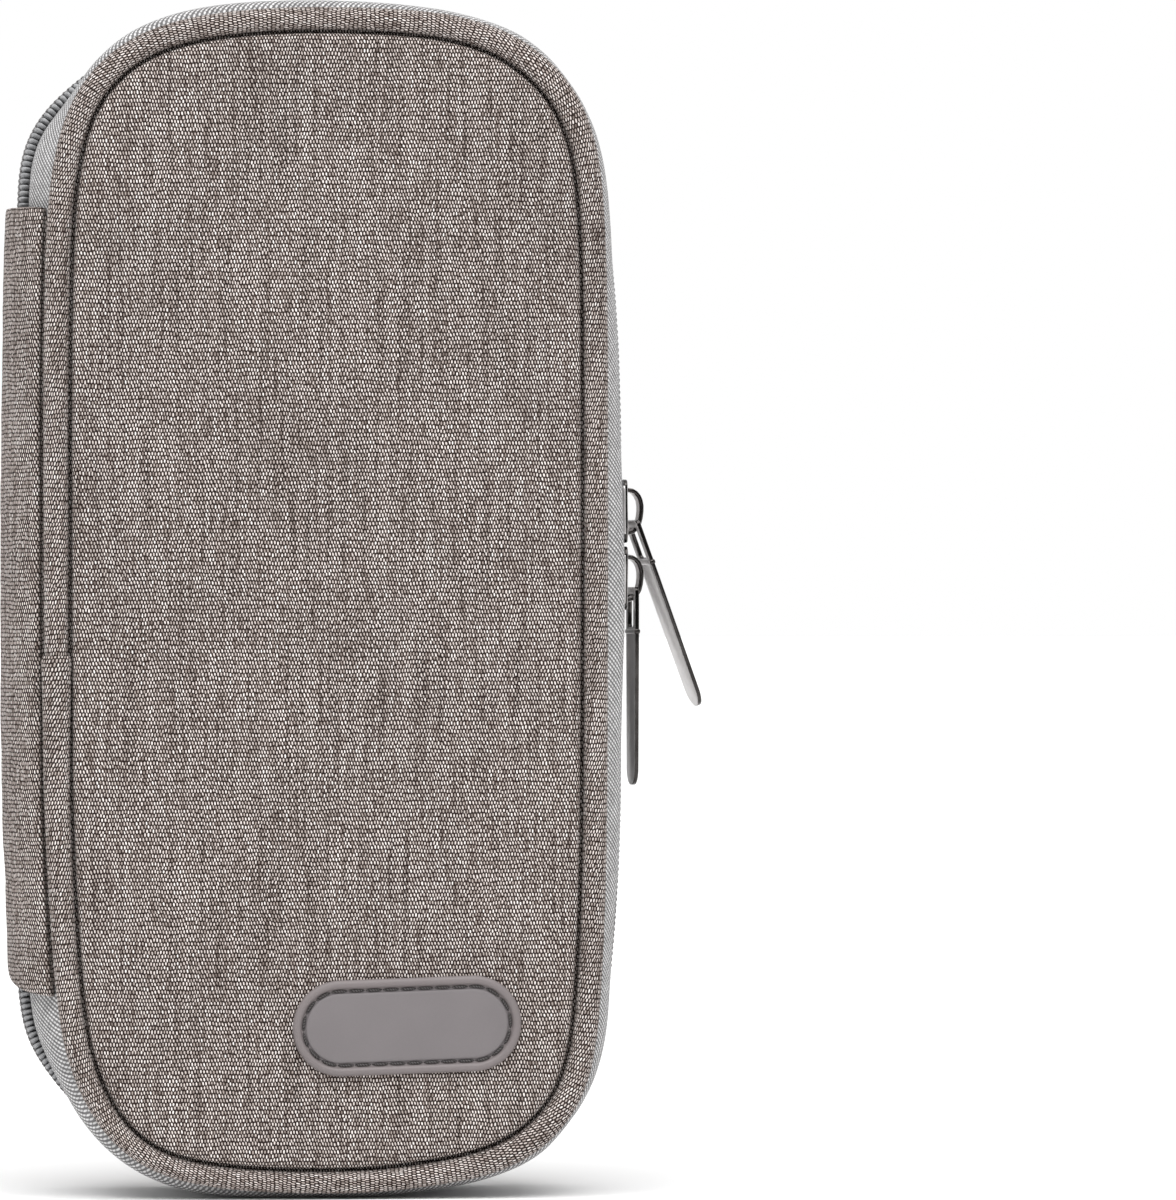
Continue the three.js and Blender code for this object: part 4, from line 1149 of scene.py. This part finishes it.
# ------------------------------------------------------------------ gel pack
def gel_pack(side, s, body):
    """A sealed film pouch: two sheets welded in a flat rim and filled with gel."""
    def outline(inset, n=96):
        r = 33.0 - inset
        out = []
        h = n // 2
        for i in range(h):
            t = math.pi * i / (h - 1)
            out.append((-r * math.cos(t), 12 + 33 - 4 - r * 0.86 * math.sin(t)))
        for i in range(h):
            t = math.pi * i / (h - 1)
            out.append((r * math.cos(t), 184 - 33 + r * math.sin(t)))
        return np.array(out)
    base = ring_points(outline(0.0), 150)
    nor = line_normals(base, True)
    inset = [0.0, 1.2, 2.6, 3.6, 4.2, 5.2, 7.0, 9.5, 12.5, 16, 20]
    rows = [base - nor * e for e in inset]
    edge = rows[-1]
    core = np.stack([np.zeros(len(edge)), np.clip(edge[:, 1], 44, 150)], 1)
    rows += [edge + f * (core - edge) for f in (0.2, 0.4, 0.6, 0.8, 1.0)]
    depth = [0.22, 0.25, 0.25, 0.28, 0.7, 1.35, 2.0, 2.4, 2.55, 2.6, 2.6] + [2.6] * 5
    ym = 12.35
    front = np.zeros((len(rows), len(base), 3))
    for i, r in enumerate(rows):
        front[i, :, 0], front[i, :, 2] = r[:, 0], r[:, 1]
        front[i, :, 1] = ym - depth[i]
    rear = front.copy()
    rear[..., 1] = 2 * ym - rear[..., 1]
    b = Build()
    b.grid(front, None, wrap_v=True, flip=True)
    b.grid(rear, None, wrap_v=True)
    b.grid(np.stack([front[0], rear[0]], 0), None, wrap_v=True)
    v = np.vstack(b.v)
    v[:, 1] *= s
    faces, uvs = b.f, b.uv
    if s < 0:
        faces, uvs = flip_faces(faces, uvs)
    o = make(f"{side}_gel_pouch", v, faces, GEL, None, uvs)
    weld(o)
    co = np.array([p.co for p in o.data.vertices], float) * 1000
    d = np.abs(np.abs(co[:, 1]) - ym)
    hold = np.where(d < 0.5, 1.0, np.where(d < 1.0, 0.4, 0.0))
    print("pouch", side, inflate(o, hold, 2.0, 0.00035, frames=16, bend=0.3, tension=12.0, shrink=-0.06))
    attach(o, body)
    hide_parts(f"{side}_gel_pack")
    # printed six-armed crystals on the face that looks into the case
    tree = BVHTree.FromObject(o, bpy.context.evaluated_depsgraph_get())

    def on_face(x, z):
        a = frame_point(x, 0, z)
        hit = tree.ray_cast(a, Vector((0, s, 0)))
        return (hit[0].y * 1000 if hit[0] is not None else s * (ym - 2.6)) - s * 0.07
    b = Build()
    spots = [(-14, 162.5, 2.9, 10), (2.5, 171, 4.2, 24), (16, 160.5, 3.8, 0), (-3, 148, 4.2, 15), (-21, 145, 3.4, 5), (19, 143, 2.9, 40),
             (-10, 131, 3.8, 12), (9, 127, 4.2, 30), (-22, 116, 2.9, 3), (0, 111, 4.2, 18), (20, 110, 3.4, 9), (-11, 95, 3.8, 27), (11, 93, 2.9, 33),
             (-21, 79, 3.4, 8), (2, 76, 4.2, 20), (21, 75, 3.0, 14), (-11, 60, 3.8, 36), (12, 58, 3.4, 2), (-1, 42, 2.9, 22)]
    for cx, cz, size, turn in spots:
        strokes = []
        for a in range(6):
            t = math.radians(turn + 60 * a)
            d = (math.cos(t), math.sin(t))
            strokes.append(((0.0, 0.0), (d[0] * size, d[1] * size)))
            for f, l in ((0.45, 0.26), (0.72, 0.20)):
                for w in (-1, 1):
                    t2 = t + w * math.radians(55)
                    p = (d[0] * size * f, d[1] * size * f)
                    strokes.append((p, (p[0] + math.cos(t2) * size * l, p[1] + math.sin(t2) * size * l)))
        for p, q in strokes:
            dx, dz = q[0] - p[0], q[1] - p[1]
            l = math.hypot(dx, dz)
            nx, nz = -dz / l * 0.24, dx / l * 0.24
            steps = max(2, int(l / 1.2) + 1)
            g = np.zeros((steps, 2, 3))
            for i in range(steps):
                f = i / (steps - 1)
                for j, w in ((0, -1), (1, 1)):
                    x, z = cx + p[0] + f * dx + w * nx, cz + p[1] + f * dz + w * nz
                    g[i, j] = (x, on_face(x, z), z)
            back_g = g.copy()
            back_g[..., 1] += s * 0.05
            uv = [[(g[i, j, 0], g[i, j, 2]) for j in range(2)] for i in range(steps)]
            b.slab(g if s < 0 else g[:, ::-1], back_g if s < 0 else back_g[:, ::-1], uv if s < 0 else [r[::-1] for r in uv])
    pr = b.object(f"{side}_pouch_print", PRINT, body)
    weld_normals(pr)


# --------------------------------------------------------------- mesh pocket
MESH_TOP = {"front": 90.0, "back": 92.0}


def pocket_rise(z, top):
    return 0.55 + 4.45 * float(np.interp(z, [7, 13, 22, 40, top], [0.02, 0.42, 0.82, 1.0, 1.0]))


def pocket_y(x, z, top, hw, lift=0.0):
    g = float(smooth(0.0, 8.5, hw - abs(x)))
    g = g ** 0.8
    sway = 0.18 * perlin(x * 0.06, z * 0.06, top)
    return 8.05 - pocket_rise(z, top) * g - sway * g - lift


def mesh_pocket(side, s, body):
    top = MESH_TOP[side]
    cell = 2.25                      # distance between hexagons
    rad = cell / math.sqrt(3)
    shared = {}
    verts = []

    def vid(key, p):
        if key not in shared:
            shared[key] = len(verts)
            verts.append(p)
        return shared[key]
    faces = []
    rows = int((top - 6.5) / (rad * 1.5)) + 2
    for i in range(rows):
        z = 7.2 + i * rad * 1.5
        if z > top + 0.6:
            continue
        hw = half_width(max(z, 7.0), 4.2)
        for j in range(-22, 23):
            x = (j + 0.5 * (i % 2)) * cell
            if abs(x) > hw - 0.9:
                continue
            outer, inner = [], []
            for a in range(6):
                t = math.radians(60 * a + 30)
                p = (x + rad * math.cos(t), z + rad * math.sin(t))
                key = (round(p[0] * 20), round(p[1] * 20))
                outer.append(vid(key, (p[0], 0.0, p[1])))
            for a in range(12):
                t = math.radians(30 * a + 30)
                rr = rad * (0.77 if a % 2 == 0 else 0.70)
                q = (x + rr * math.cos(t), z + rr * math.sin(t))
                inner.append(len(verts))
                verts.append((q[0], 0.0, q[1]))
            for a in range(6):
                o0, o1 = outer[a], outer[(a + 1) % 6]
                i0, i1, i2 = inner[2 * a], inner[2 * a + 1], inner[(2 * a + 2) % 12]
                faces.append([o0, o1, i2, i1, i0])
    v = np.array(verts)
    for q in v:
        hw = half_width(min(max(q[2], 7.0), top), 4.2)
        q[1] = pocket_y(q[0], q[2], top, hw)
    v[:, 1] *= s
    if s < 0:
        faces = [f[::-1] for f in faces]
    uv = [(v[i][0], v[i][2]) for f in faces for i in f]
    o = make(f"{side}_mesh_net", v, faces, YARN, None, uv)
    mod = o.modifiers.new("thick", "SOLIDIFY")
    mod.thickness = 0.00034
    mod.offset = 0.0
    apply_modifiers(o)
    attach(o, body)
    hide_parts(f"{side}_mesh_pocket")
    w, h = 2 * half_width(50, 4.2) / 1000, (top - 7) / 1000
    # binding round the three sewn sides
    zs = np.concatenate([np.linspace(top, 12, 40), np.linspace(11.5, 7.0, 8)])
    right = [(half_width(z, 4.2) - 0.3, z) for z in zs]
    path = right + [(x, 7.0) for x in np.linspace(half_width(7, 4.2) - 3, -half_width(7, 4.2) + 3, 24)] + [(-x, z) for x, z in reversed(right)]
    path = np.array(path)
    ln = line_length(path)
    path = resample(path, 190, False, turn=0.6, step=8)
    ln = line_length(path)
    nor = line_normals(path, False)
    b = Build()
    sect = [(-1.5, 8.25), (-1.35, 7.75), (-0.6, 7.45), (0.6, 7.45), (1.25, 7.75), (1.4, 8.25)]
    g = np.zeros((len(path), len(sect), 3))
    for i, (x, z) in enumerate(path):
        for j, (a, y) in enumerate(sect):
            wob = 0.06 * perlin(ln[i] * 0.5, j, 3)
            g[i, j] = (x + nor[i, 0] * a, s * (y + wob - 0.05), z + nor[i, 1] * a)
    uvb = [[(ln[i], sect[j][0]) for j in range(len(sect) + 1 - 1)] + [(ln[i], 3.0)] for i in range(len(path))]
    b.grid(g, uvb, wrap_v=True, flip=s < 0)
    for e in (0, -1):
        f = list(range(len(sect)))
        b.add(g[e], [f if (e == 0) else f[::-1]])
    bind = b.object(f"{side}_mesh_binding", TAPE, body, join=True)
    weld_normals(bind)
    # stitches along the binding
    b = Build()
    q = np.arange(1.5, ln[-1] - 3, 3.0)
    for a in q:
        pts = []
        for d in (0.0, 2.1):
            pts.append((np.interp(a + d, ln, path[:, 0]), s * 7.38, np.interp(a + d, ln, path[:, 1])))
        b.capsule(pts[0], pts[1], 0.17, 5)
    st = b.object(f"{side}_mesh_stitches", PALE_SEW, body, join=True)
    # elastic along the mouth
    k, m = 86, 16
    front, behind = np.zeros((m, k, 3)), np.zeros((m, k, 3))
    xs = np.linspace(-1, 1, k)
    for i in range(m):
        z = top - 0.6 + (10.6) * i / (m - 1)
        hw = half_width(z, 4.2) - 0.2
        for j in range(k):
            x = hw * xs[j]
            bead = 0.09 * math.cos(TAU * i / 3.0)
            y = pocket_y(x, top, top, hw) - 0.42 - bead
            gath = 0.10 * math.sin(x * 1.9 + 0.8 * perlin(x * 0.1, z * 0.1, 2)) * float(smooth(0, 8, hw - abs(x)))
            front[i, j] = (x, y - gath, z)
            behind[i, j] = (x, y - gath + 0.85, z)
    uv = [[(front[i, j, 0], front[i, j, 2]) for j in range(k)] for i in range(m)]
    front[..., 1] *= s
    behind[..., 1] *= s
    b = Build()
    if s > 0:
        b.slab(front[:, ::-1], behind[:, ::-1], [r[::-1] for r in uv], rim=0.25)
    else:
        b.slab(front, behind, uv, rim=0.25)
    e = b.object(f"{side}_mouth_elastic", ELASTIC, body, (f"{side}_mesh_elastic",), "elastic")


# ----------------------------------------------------------------- pen loops
def pen_loops():
    half, rise_mm = 11.8, 10.4

    def rise(x):
        for c in (-15.5, 15.5):
            u = abs(x - c) / half
            if u < 1:
                return math.cos(u * math.pi / 2) ** 0.75
        return 0.0
    xs = [-36.0, -34, -32, -30, -28.4]
    for c in (-15.5, 15.5):
        xs += [c + half * math.sin((i / 30 - 0.5) * math.pi) for i in range(31)]
    xs += [28.4, 30, 32, 34, 36.0]
    xs = sorted(set(round(x, 4) for x in xs))
    path = np.array([(x, 8.2 - rise_mm * rise(x)) for x in xs])
    path = resample(path, 190, False, turn=0.4, step=2)
    ln = line_length(path)
    d = np.gradient(path, axis=0)
    d /= np.hypot(d[:, 0], d[:, 1])[:, None]
    nor = np.stack([d[:, 1], -d[:, 0]], 1)       # towards the inside of the case
    m = 24
    zs = np.linspace(112, 137, m)
    front, behind = np.zeros((m, len(path), 3)), np.zeros((m, len(path), 3))
    for i, z in enumerate(zs):
        bead = 0.10 * math.cos(TAU * i / 2.95)
        e = float(smooth(0, 1.6, min(z - 112, 137 - z)))
        for j, (x, y) in enumerate(path):
            o = 0.72 + bead - 0.22 * (1 - e)
            front[i, j] = (x + nor[j, 0] * o, y + nor[j, 1] * o, z)
            behind[i, j] = (x - nor[j, 0] * 0.12, y - nor[j, 1] * 0.12, z)
    # keep the strap's own thickness off the pocket sheet
    behind[..., 1] = np.minimum(behind[..., 1], 8.32)
    uv = [[(ln[j], z) for j in range(len(path))] for z in zs]
    b = Build()
    b.slab(front[:, ::-1], behind[:, ::-1], [r[::-1] for r in uv], rim=0.2)
    o = b.object("pen_loop_elastic", ELASTIC, "base", ("pen_loop_strap",), "elastic")
    b = Build()
    for x in (-34.6, -29.4, -1.9, 1.9, 29.4, 34.6):
        n = 9
        for i in range(n):
            a, c = 112.6 + 24 * (i + 0.1) / n, 112.6 + 24 * (i + 0.85) / n
            b.capsule((x, 7.36, a), (x, 7.36, c), 0.24, 6)
    b.object("pen_loop_stitches", SEW, "base", join=True)


# --------------------------------------------------------------------- badge
def badge():
    """A moulded badge with round ends: a rounded rim, a narrow sewing channel inside it and a bare face."""
    R, c, tilt = BADGE["r"], BADGE["c"], BADGE["tilt"]

    def outline(inset, na, ns):
        """Fixed shares of points on the arcs and the straights, so that rings line up."""
        r = R - inset
        pts = []
        for i in range(na):
            t = -math.pi / 2 + math.pi * i / na
            pts.append((c + r * math.cos(t), r * math.sin(t)))
        for i in range(ns):
            pts.append((c - 2 * c * i / ns, r))
        for i in range(na):
            t = math.pi / 2 + math.pi * i / na
            pts.append((-c + r * math.cos(t), r * math.sin(t)))
        for i in range(ns):
            pts.append((-c + 2 * c * i / ns, -r))
        return np.array(pts)

    def place(q, y):
        x = BADGE["x"] + q[:, 0] * math.cos(tilt) - q[:, 1] * math.sin(tilt)
        z = BADGE["z"] + q[:, 0] * math.sin(tilt) + q[:, 1] * math.cos(tilt)
        return np.stack([x, np.full(len(q), y), z], 1)
    prof = [(0.14, -0.2), (0.03, 0.2), (0.0, 0.55), (0.06, 0.88), (0.20, 1.12), (0.42, 1.28), (0.68, 1.36), (0.94, 1.34), (1.15, 1.25), (1.31, 1.08), (1.42, 0.86),
            (1.51, 0.66), (1.67, 0.56), (1.90, 0.54), (2.09, 0.60), (2.19, 0.76), (2.27, 0.94), (2.40, 1.03), (2.70, 1.06), (3.4, 1.08), (4.7, 1.10), (6.3, 1.12), (7.7, 1.12)]
    rows = np.array([place(outline(d, 48, 30), -20.58 - h) for d, h in prof])
    b = Build()
    n = rows.shape[1]
    b.grid(rows, [[(d, 0.4 * j) for j in range(n + 1)] for d, _ in prof], wrap_v=True)
    b.add(rows[-1], [list(range(n))], [(8.0, 0.4 * j) for j in range(n)])
    b.add(rows[0], [list(range(n))[::-1]], [(0.0, 0.4 * j) for j in range(n)])
    o = make("badge_moulding", np.vstack(b.v), b.f, RUBBER, None, b.uv)
    weld(o)
    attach(o, "lid")
    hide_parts("badge")
    # stitches in the channel
    q = outline(1.81, 200, 160)
    closed = np.vstack([q, q[:1]])
    ln = line_length(closed)
    count = 29
    b = Build()
    for i in range(count):
        a, e = ln[-1] * (i + 0.05) / count, ln[-1] * (i + 0.95) / count
        s = np.linspace(a, e, 9)
        p = np.stack([np.interp(s, ln, closed[:, 0]), np.interp(s, ln, closed[:, 1])], 1)
        pts = place(p, -21.36)
        pts[:, 1] += np.array([0.26, 0.10, 0.02, 0, 0, 0, 0.02, 0.10, 0.26])
        b.tube(pts, np.array([0.10, 0.18, 0.21, 0.22, 0.22, 0.22, 0.21, 0.18, 0.10]), 7)
    b.object("badge_stitches", DARK_SEW, "lid", join=True)


# ------------------------------------------------------------ sliders, pulls
def rounded(o, width, segments=3, angle=35):
    mod = o.modifiers.new("round", "BEVEL")
    mod.width = width / 1000
    mod.segments = segments
    mod.limit_method = "ANGLE"
    mod.angle_limit = math.radians(angle)
    mod.harden_normals = False
    apply_modifiers(o)
    o.data.polygons.foreach_set("use_smooth", [True] * len(o.data.polygons))


def side_plate(b, outline, x0, x1):
    """A plate from an outline in YZ, between two depths in X."""
    n = len(outline)
    area = sum(outline[i][0] * outline[(i + 1) % n][1] - outline[(i + 1) % n][0] * outline[i][1] for i in range(n))
    pts = outline if area > 0 else outline[::-1]
    v = [(x0, y, z) for y, z in pts] + [(x1, y, z) for y, z in pts]
    f = [list(range(n))[::-1], list(range(n, 2 * n))] + [[i, (i + 1) % n, n + (i + 1) % n, n + i] for i in range(n)]
    b.add(v, f)


def mark_dark_reflection_faces(o, test):
    """Mark by their normal the faces that get the painted dark reflection of the plating."""
    layer = o.data.uv_layers["weave"].data
    for poly in o.data.polygons:
        mark = 1.0 if test(poly.normal) else 0.0
        for i in poly.loop_indices:
            layer[i].uv = (mark, 0.0)


def slider(name, zc, up, lean, twist):
    body = f"{name}_slider"
    d = -1 if up else 1
    L, w, nrw = 10.7 / 2, 8.4 / 2, 6.8 / 2

    def shape(grow=0.0):
        right = [(nrw - 1.5, -L), (nrw - 0.6, -L * 0.96), (nrw, -L * 0.84), (nrw + 0.05, -L * 0.45), (nrw + 0.25, -L * 0.1), (w - 0.12, L * 0.25), (w, L * 0.45),
                 (w, L * 0.70), (w - 0.25, L * 0.86), (w - 0.9, L * 0.97), (w - 1.8, L)]
        pts = right + [(0.9, L * 0.985), (0.0, L * 0.93), (-0.9, L * 0.985)] + [(-y, z) for y, z in reversed(right)] + [(0.0, -L * 1.01)]
        return [(y * (1 + grow), zc + d * z * (1 + grow)) for y, z in pts]
    b = Build()
    side_plate(b, shape(), 51.28, 52.0)
    o = b.object(f"{name}_slider_shell", METAL, None)
    rounded(o, 0.20, 3)
    # the plate's rims get the painted dark reflection
    mark_dark_reflection_faces(o, lambda n: abs(n.x) < 0.6)
    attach(o, body)
    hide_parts(f"{name}_slider_body")
    # the inner plate, the post between the chains and the turned-in side edges
    b = Build()
    side_plate(b, shape(-0.02), 47.7, 48.5)
    i = b.object(f"{name}_slider_inner", METAL, None)
    rounded(i, 0.25, 2)
    # the inner plate's rims get the painted dark reflection
    mark_dark_reflection_faces(i, lambda n: abs(n.x) < 0.6)
    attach(i, body)
    b = Build()
    side_plate(b, [(y, zc + d * z) for y, z in ((-0.25, L * 0.25), (-0.25, L * 0.9), (0.25, L * 0.9), (0.25, L * 0.25))], 48.3, 51.5)
    mark_dark_reflection_faces(b.object(f"{name}_slider_post", METAL, body), lambda n: False)
    b = Build()
    for sy in (-1, 1):
        q = np.array([(51.40, sy * (w - 0.22), zc + d * L * 0.72), (51.38, sy * (w - 0.22), zc + d * L * 0.35), (51.38, sy * (nrw + 0.06), zc - d * L * 0.2),
                      (51.38, sy * (nrw - 0.2), zc - d * L * 0.8)])
        t = np.linspace(0, 3, 16)
        q = np.stack([np.interp(t, range(4), q[:, a]) for a in range(3)], 1)
        b.tube(q, np.full(16, 0.30), 8, up=(1, 0, 0))
    mark_dark_reflection_faces(b.object(f"{name}_slider_edges", METAL, body, join=True), lambda n: False)
    # the loop the pull hangs in: a bent strip with rounded edges, turned a little as the two ends are swaged
    pts = [(3.60, -0.25), (3.60, 0.30), (3.50, 0.85), (3.15, 1.45), (2.6, 1.95), (1.9, 2.28), (1.0, 2.46), (0, 2.46), (-1.0, 2.34), (-2.0, 2.08), (-2.85, 1.6), (-3.4, 1.0), (-3.62, 0.45), (-3.62, -0.25)]
    path = resample(np.array(pts), 60, False, turn=0.3, step=1.0)
    tan = np.gradient(path, axis=0)
    tan /= np.hypot(tan[:, 0], tan[:, 1])[:, None]
    nor = np.stack([tan[:, 1], -tan[:, 0]], 1)
    sides = 20
    sec = []
    for k in range(sides):
        t = TAU * k / sides
        c, q = math.cos(t), math.sin(t)
        sec.append((math.copysign(abs(c) ** 0.55, c) * 1.0, math.copysign(abs(q) ** 0.6, q) * 0.42))
    turn = math.radians(16)
    g = np.zeros((len(path), sides, 3))
    for a in range(len(path)):
        for k, (y, h) in enumerate(sec):
            out = path[a, 1] + nor[a, 1] * h
            g[a, k] = (51.98 + out * math.cos(turn) - y * math.sin(turn) * float(smooth(0.2, 1.2, out)), y * math.cos(turn), zc + path[a, 0] + nor[a, 0] * h)
    b = Build()
    b.grid(g, None, wrap_v=True)
    for e in (0, -1):
        f = list(range(sides))
        b.add(g[e], [f if e == 0 else f[::-1]])
    bail = b.object(f"{name}_slider_loop", METAL, None)
    weld(bail)
    # the loop's narrow rims get the painted dark reflection
    mark_dark_reflection_faces(bail, lambda n: abs(n.y) > 0.55)
    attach(bail, body)
    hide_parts(f"{name}_slider_bail")
    # the pull: a window at the top, a raised band below it and a plain tab
    hw, ht, end, th = 6.7 / 2, 6.0 / 2, 33.0, 0.78
    outer = [(-hw + 0.5, 0.5), (-hw, 0.0), (-hw, -10), (-ht, -end + ht)]
    outer += [(-ht * math.cos(math.pi * i / 16), -end + ht - ht * math.sin(math.pi * i / 16)) for i in range(1, 16)]
    outer += [(ht, -end + ht), (hw, -10), (hw, 0.0), (hw - 0.5, 0.5)]
    b = Build()
    side_plate(b, outer, -th / 2, th / 2)
    tab = make(f"{name}_pull_tab", np.vstack(b.v) - [SHIFT, 0, 0], b.f, METAL, None, b.uv)
    b = Build()
    side_plate(b, [(-1.95, -0.75), (-1.95, -5.9), (-1.6, -6.25), (1.6, -6.25), (1.95, -5.9), (1.95, -0.75)], -3, 3)
    cut = make("window", np.vstack(b.v) - [SHIFT, 0, 0], b.f, METAL, None, b.uv)
    mod = tab.modifiers.new("window", "BOOLEAN")
    mod.operation, mod.object, mod.solver = "DIFFERENCE", cut, "EXACT"
    apply_modifiers(tab)
    bpy.data.objects.remove(cut)
    rounded(tab, 0.14, 3, 30)
    # the tab's edges get the painted dark reflection
    mark_dark_reflection_faces(tab, lambda n: abs(n.x) < 0.45)
    m = Matrix.Translation(frame_point(53.1, 0, zc - 2.0)) @ Matrix.Rotation(math.radians(twist), 4, "Z") @ Matrix.Rotation(math.radians(-lean), 4, "Y")
    tab.data.transform(m)
    tab.data.update()
    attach(tab, f"{name}_pull")
    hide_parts(f"{name}_pull")
    # the band under the window wraps round both faces and edges
    b = Build()
    path = []
    for k in range(41):
        t = TAU * k / 40
        c, q = math.cos(t), math.sin(t)
        path.append((math.copysign(abs(q) ** 0.35, q) * (th / 2 - 0.02), math.copysign(abs(c) ** 0.12, c) * (hw - 0.02), -7.0))
    rows = []
    path = np.array(path[:-1])
    for k in range(10):
        t = TAU * k / 10
        grow = 0.22 * math.cos(t)
        p = path.copy()
        p[:, 0] += np.sign(p[:, 0]) * grow * np.minimum(np.abs(p[:, 0]) / 0.3, 1)
        p[:, 1] += np.sign(p[:, 1]) * grow * smooth(hw - 0.6, hw - 0.05, np.abs(p[:, 1]))
        p[:, 2] += 0.42 * math.sin(t)
        rows.append(p)
    b.grid(np.array(rows), None, wrap_u=True, wrap_v=True)
    band = make(f"{name}_pull_band", np.vstack(b.v) - [SHIFT, 0, 0], b.f, METAL, None, b.uv)
    weld(band)
    # the band's edges get the painted dark reflection
    mark_dark_reflection_faces(band, lambda n: abs(n.x) < 0.45)
    band.data.transform(m)
    band.data.update()
    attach(band, f"{name}_pull")


# ------------------------------------------------------------------ assembly
for side, s, body in HALVES:
    panel(side, s, body)
    foam(side, s, body)
    piping(side, s, body, 90.7 if side == "front" else 104.0)
    zip_tape(side, s, body)
    chain(side, s, body)
spine()
for side, s, body in HALVES:
    linings(side, s, body)
    foil_pocket(side, s, body)
    gel_pack(side, s, f"{side}_pack")
    mesh_pocket(side, s, body)
pen_loops()
badge()
slider("upper", 115.0, True, 20.5, 12)
slider("lower", 103.7, False, 0, 8)


# ------------------------------------------------------------------- staging
def floor():
    n = 72
    rings = [0.0, 0.4, 1.2, 3.0, 8.0, 24.0]
    v, f = [(0, 0, 0)], []
    for r in rings[1:]:
        v += [(r * math.cos(TAU * i / n), r * math.sin(TAU * i / n), 0.0) for i in range(n)]
    f += [[0, 1 + i, 1 + (i + 1) % n] for i in range(n)]
    for k in range(len(rings) - 2):
        a, b = 1 + k * n, 1 + (k + 1) * n
        f += [[a + i, b + i, b + (i + 1) % n, a + (i + 1) % n] for i in range(n)]
    me = bpy.data.meshes.new("floor")
    me.from_pydata(v, [], f)
    o = bpy.data.objects.new("floor", me)
    bpy.context.scene.collection.objects.link(o)
    m = Mat("pale_floor")
    p = m.place()
    n1 = m.noise(p, 0.004, 2.0)
    me.materials.append(m.done(Base_Color=m.mix(m.span(n1, 0.3, 0.7), (0.94, 0.94, 0.94), (0.96, 0.96, 0.96)), Roughness=0.9, Specular_IOR_Level=0.1))


floor()


def studio():
    """White all round. Polished metal mirrors dark screens at the front and on the right and a grey one behind."""
    world = bpy.data.worlds.new("studio")
    bpy.context.scene.world = world
    world.use_nodes = True
    t = world.node_tree
    t.nodes.clear()

    def node(kind, **props):
        n = t.nodes.new(kind)
        for k, v in props.items():
            setattr(n, k, v)
        return n

    def mix(f, a, b):
        n = node("ShaderNodeMix", data_type="RGBA")
        for i, x in ((0, f), (6, a), (7, b)):
            if isinstance(x, bpy.types.NodeSocket):
                t.links.new(x, n.inputs[i])
            else:
                n.inputs[i].default_value = (x, x, x, 1.0)
        return n.outputs[2]

    def ramp(v, a, b):
        n = node("ShaderNodeMapRange", interpolation_type="SMOOTHSTEP")
        t.links.new(v, n.inputs[0])
        for i, x in enumerate((a, b, 0.0, 1.0)):
            n.inputs[1 + i].default_value = x
        return n.outputs[0]
    place = node("ShaderNodeTexCoord")
    split = node("ShaderNodeSeparateXYZ")
    t.links.new(place.outputs["Generated"], split.inputs[0])
    y = split.outputs[1]
    ray = node("ShaderNodeLightPath")
    mirrored = mix(ramp(y, 0.35, 0.8), mix(ramp(y, -0.45, -0.70), 1.0, 0.03), 0.7)
    level = node("ShaderNodeMath", operation="ABSOLUTE")
    t.links.new(split.outputs[2], level.inputs[0])
    beside = node("ShaderNodeMath", operation="MULTIPLY")
    t.links.new(ramp(split.outputs[0], 0.30, 0.70), beside.inputs[0])
    t.links.new(ramp(level.outputs[0], 0.60, 0.15), beside.inputs[1])
    mirrored = mix(beside.outputs[0], mirrored, 0.22)
    light = mix(ray.outputs["Is Glossy Ray"], 0.62, mirrored)
    seen = mix(ray.outputs["Is Camera Ray"], light, 1.0)
    bg = node("ShaderNodeBackground")
    t.links.new(seen, bg.inputs[0])
    bg.inputs[1].default_value = 1.0
    out = node("ShaderNodeOutputWorld")
    t.links.new(bg.outputs[0], out.inputs[0])


studio()

# one broad soft light from above and in front
sun = bpy.data.lights.new("key", "SUN")
sun.energy = 2.85
sun.angle = math.radians(60)
key = bpy.data.objects.new("key", sun)
bpy.context.scene.collection.objects.link(key)
key.rotation_mode = "QUATERNION"
key.rotation_quaternion = Vector((0.04, 0.47, -0.88)).to_track_quat("-Z", "Y")

bpy.context.scene.view_settings.view_transform = "Standard"
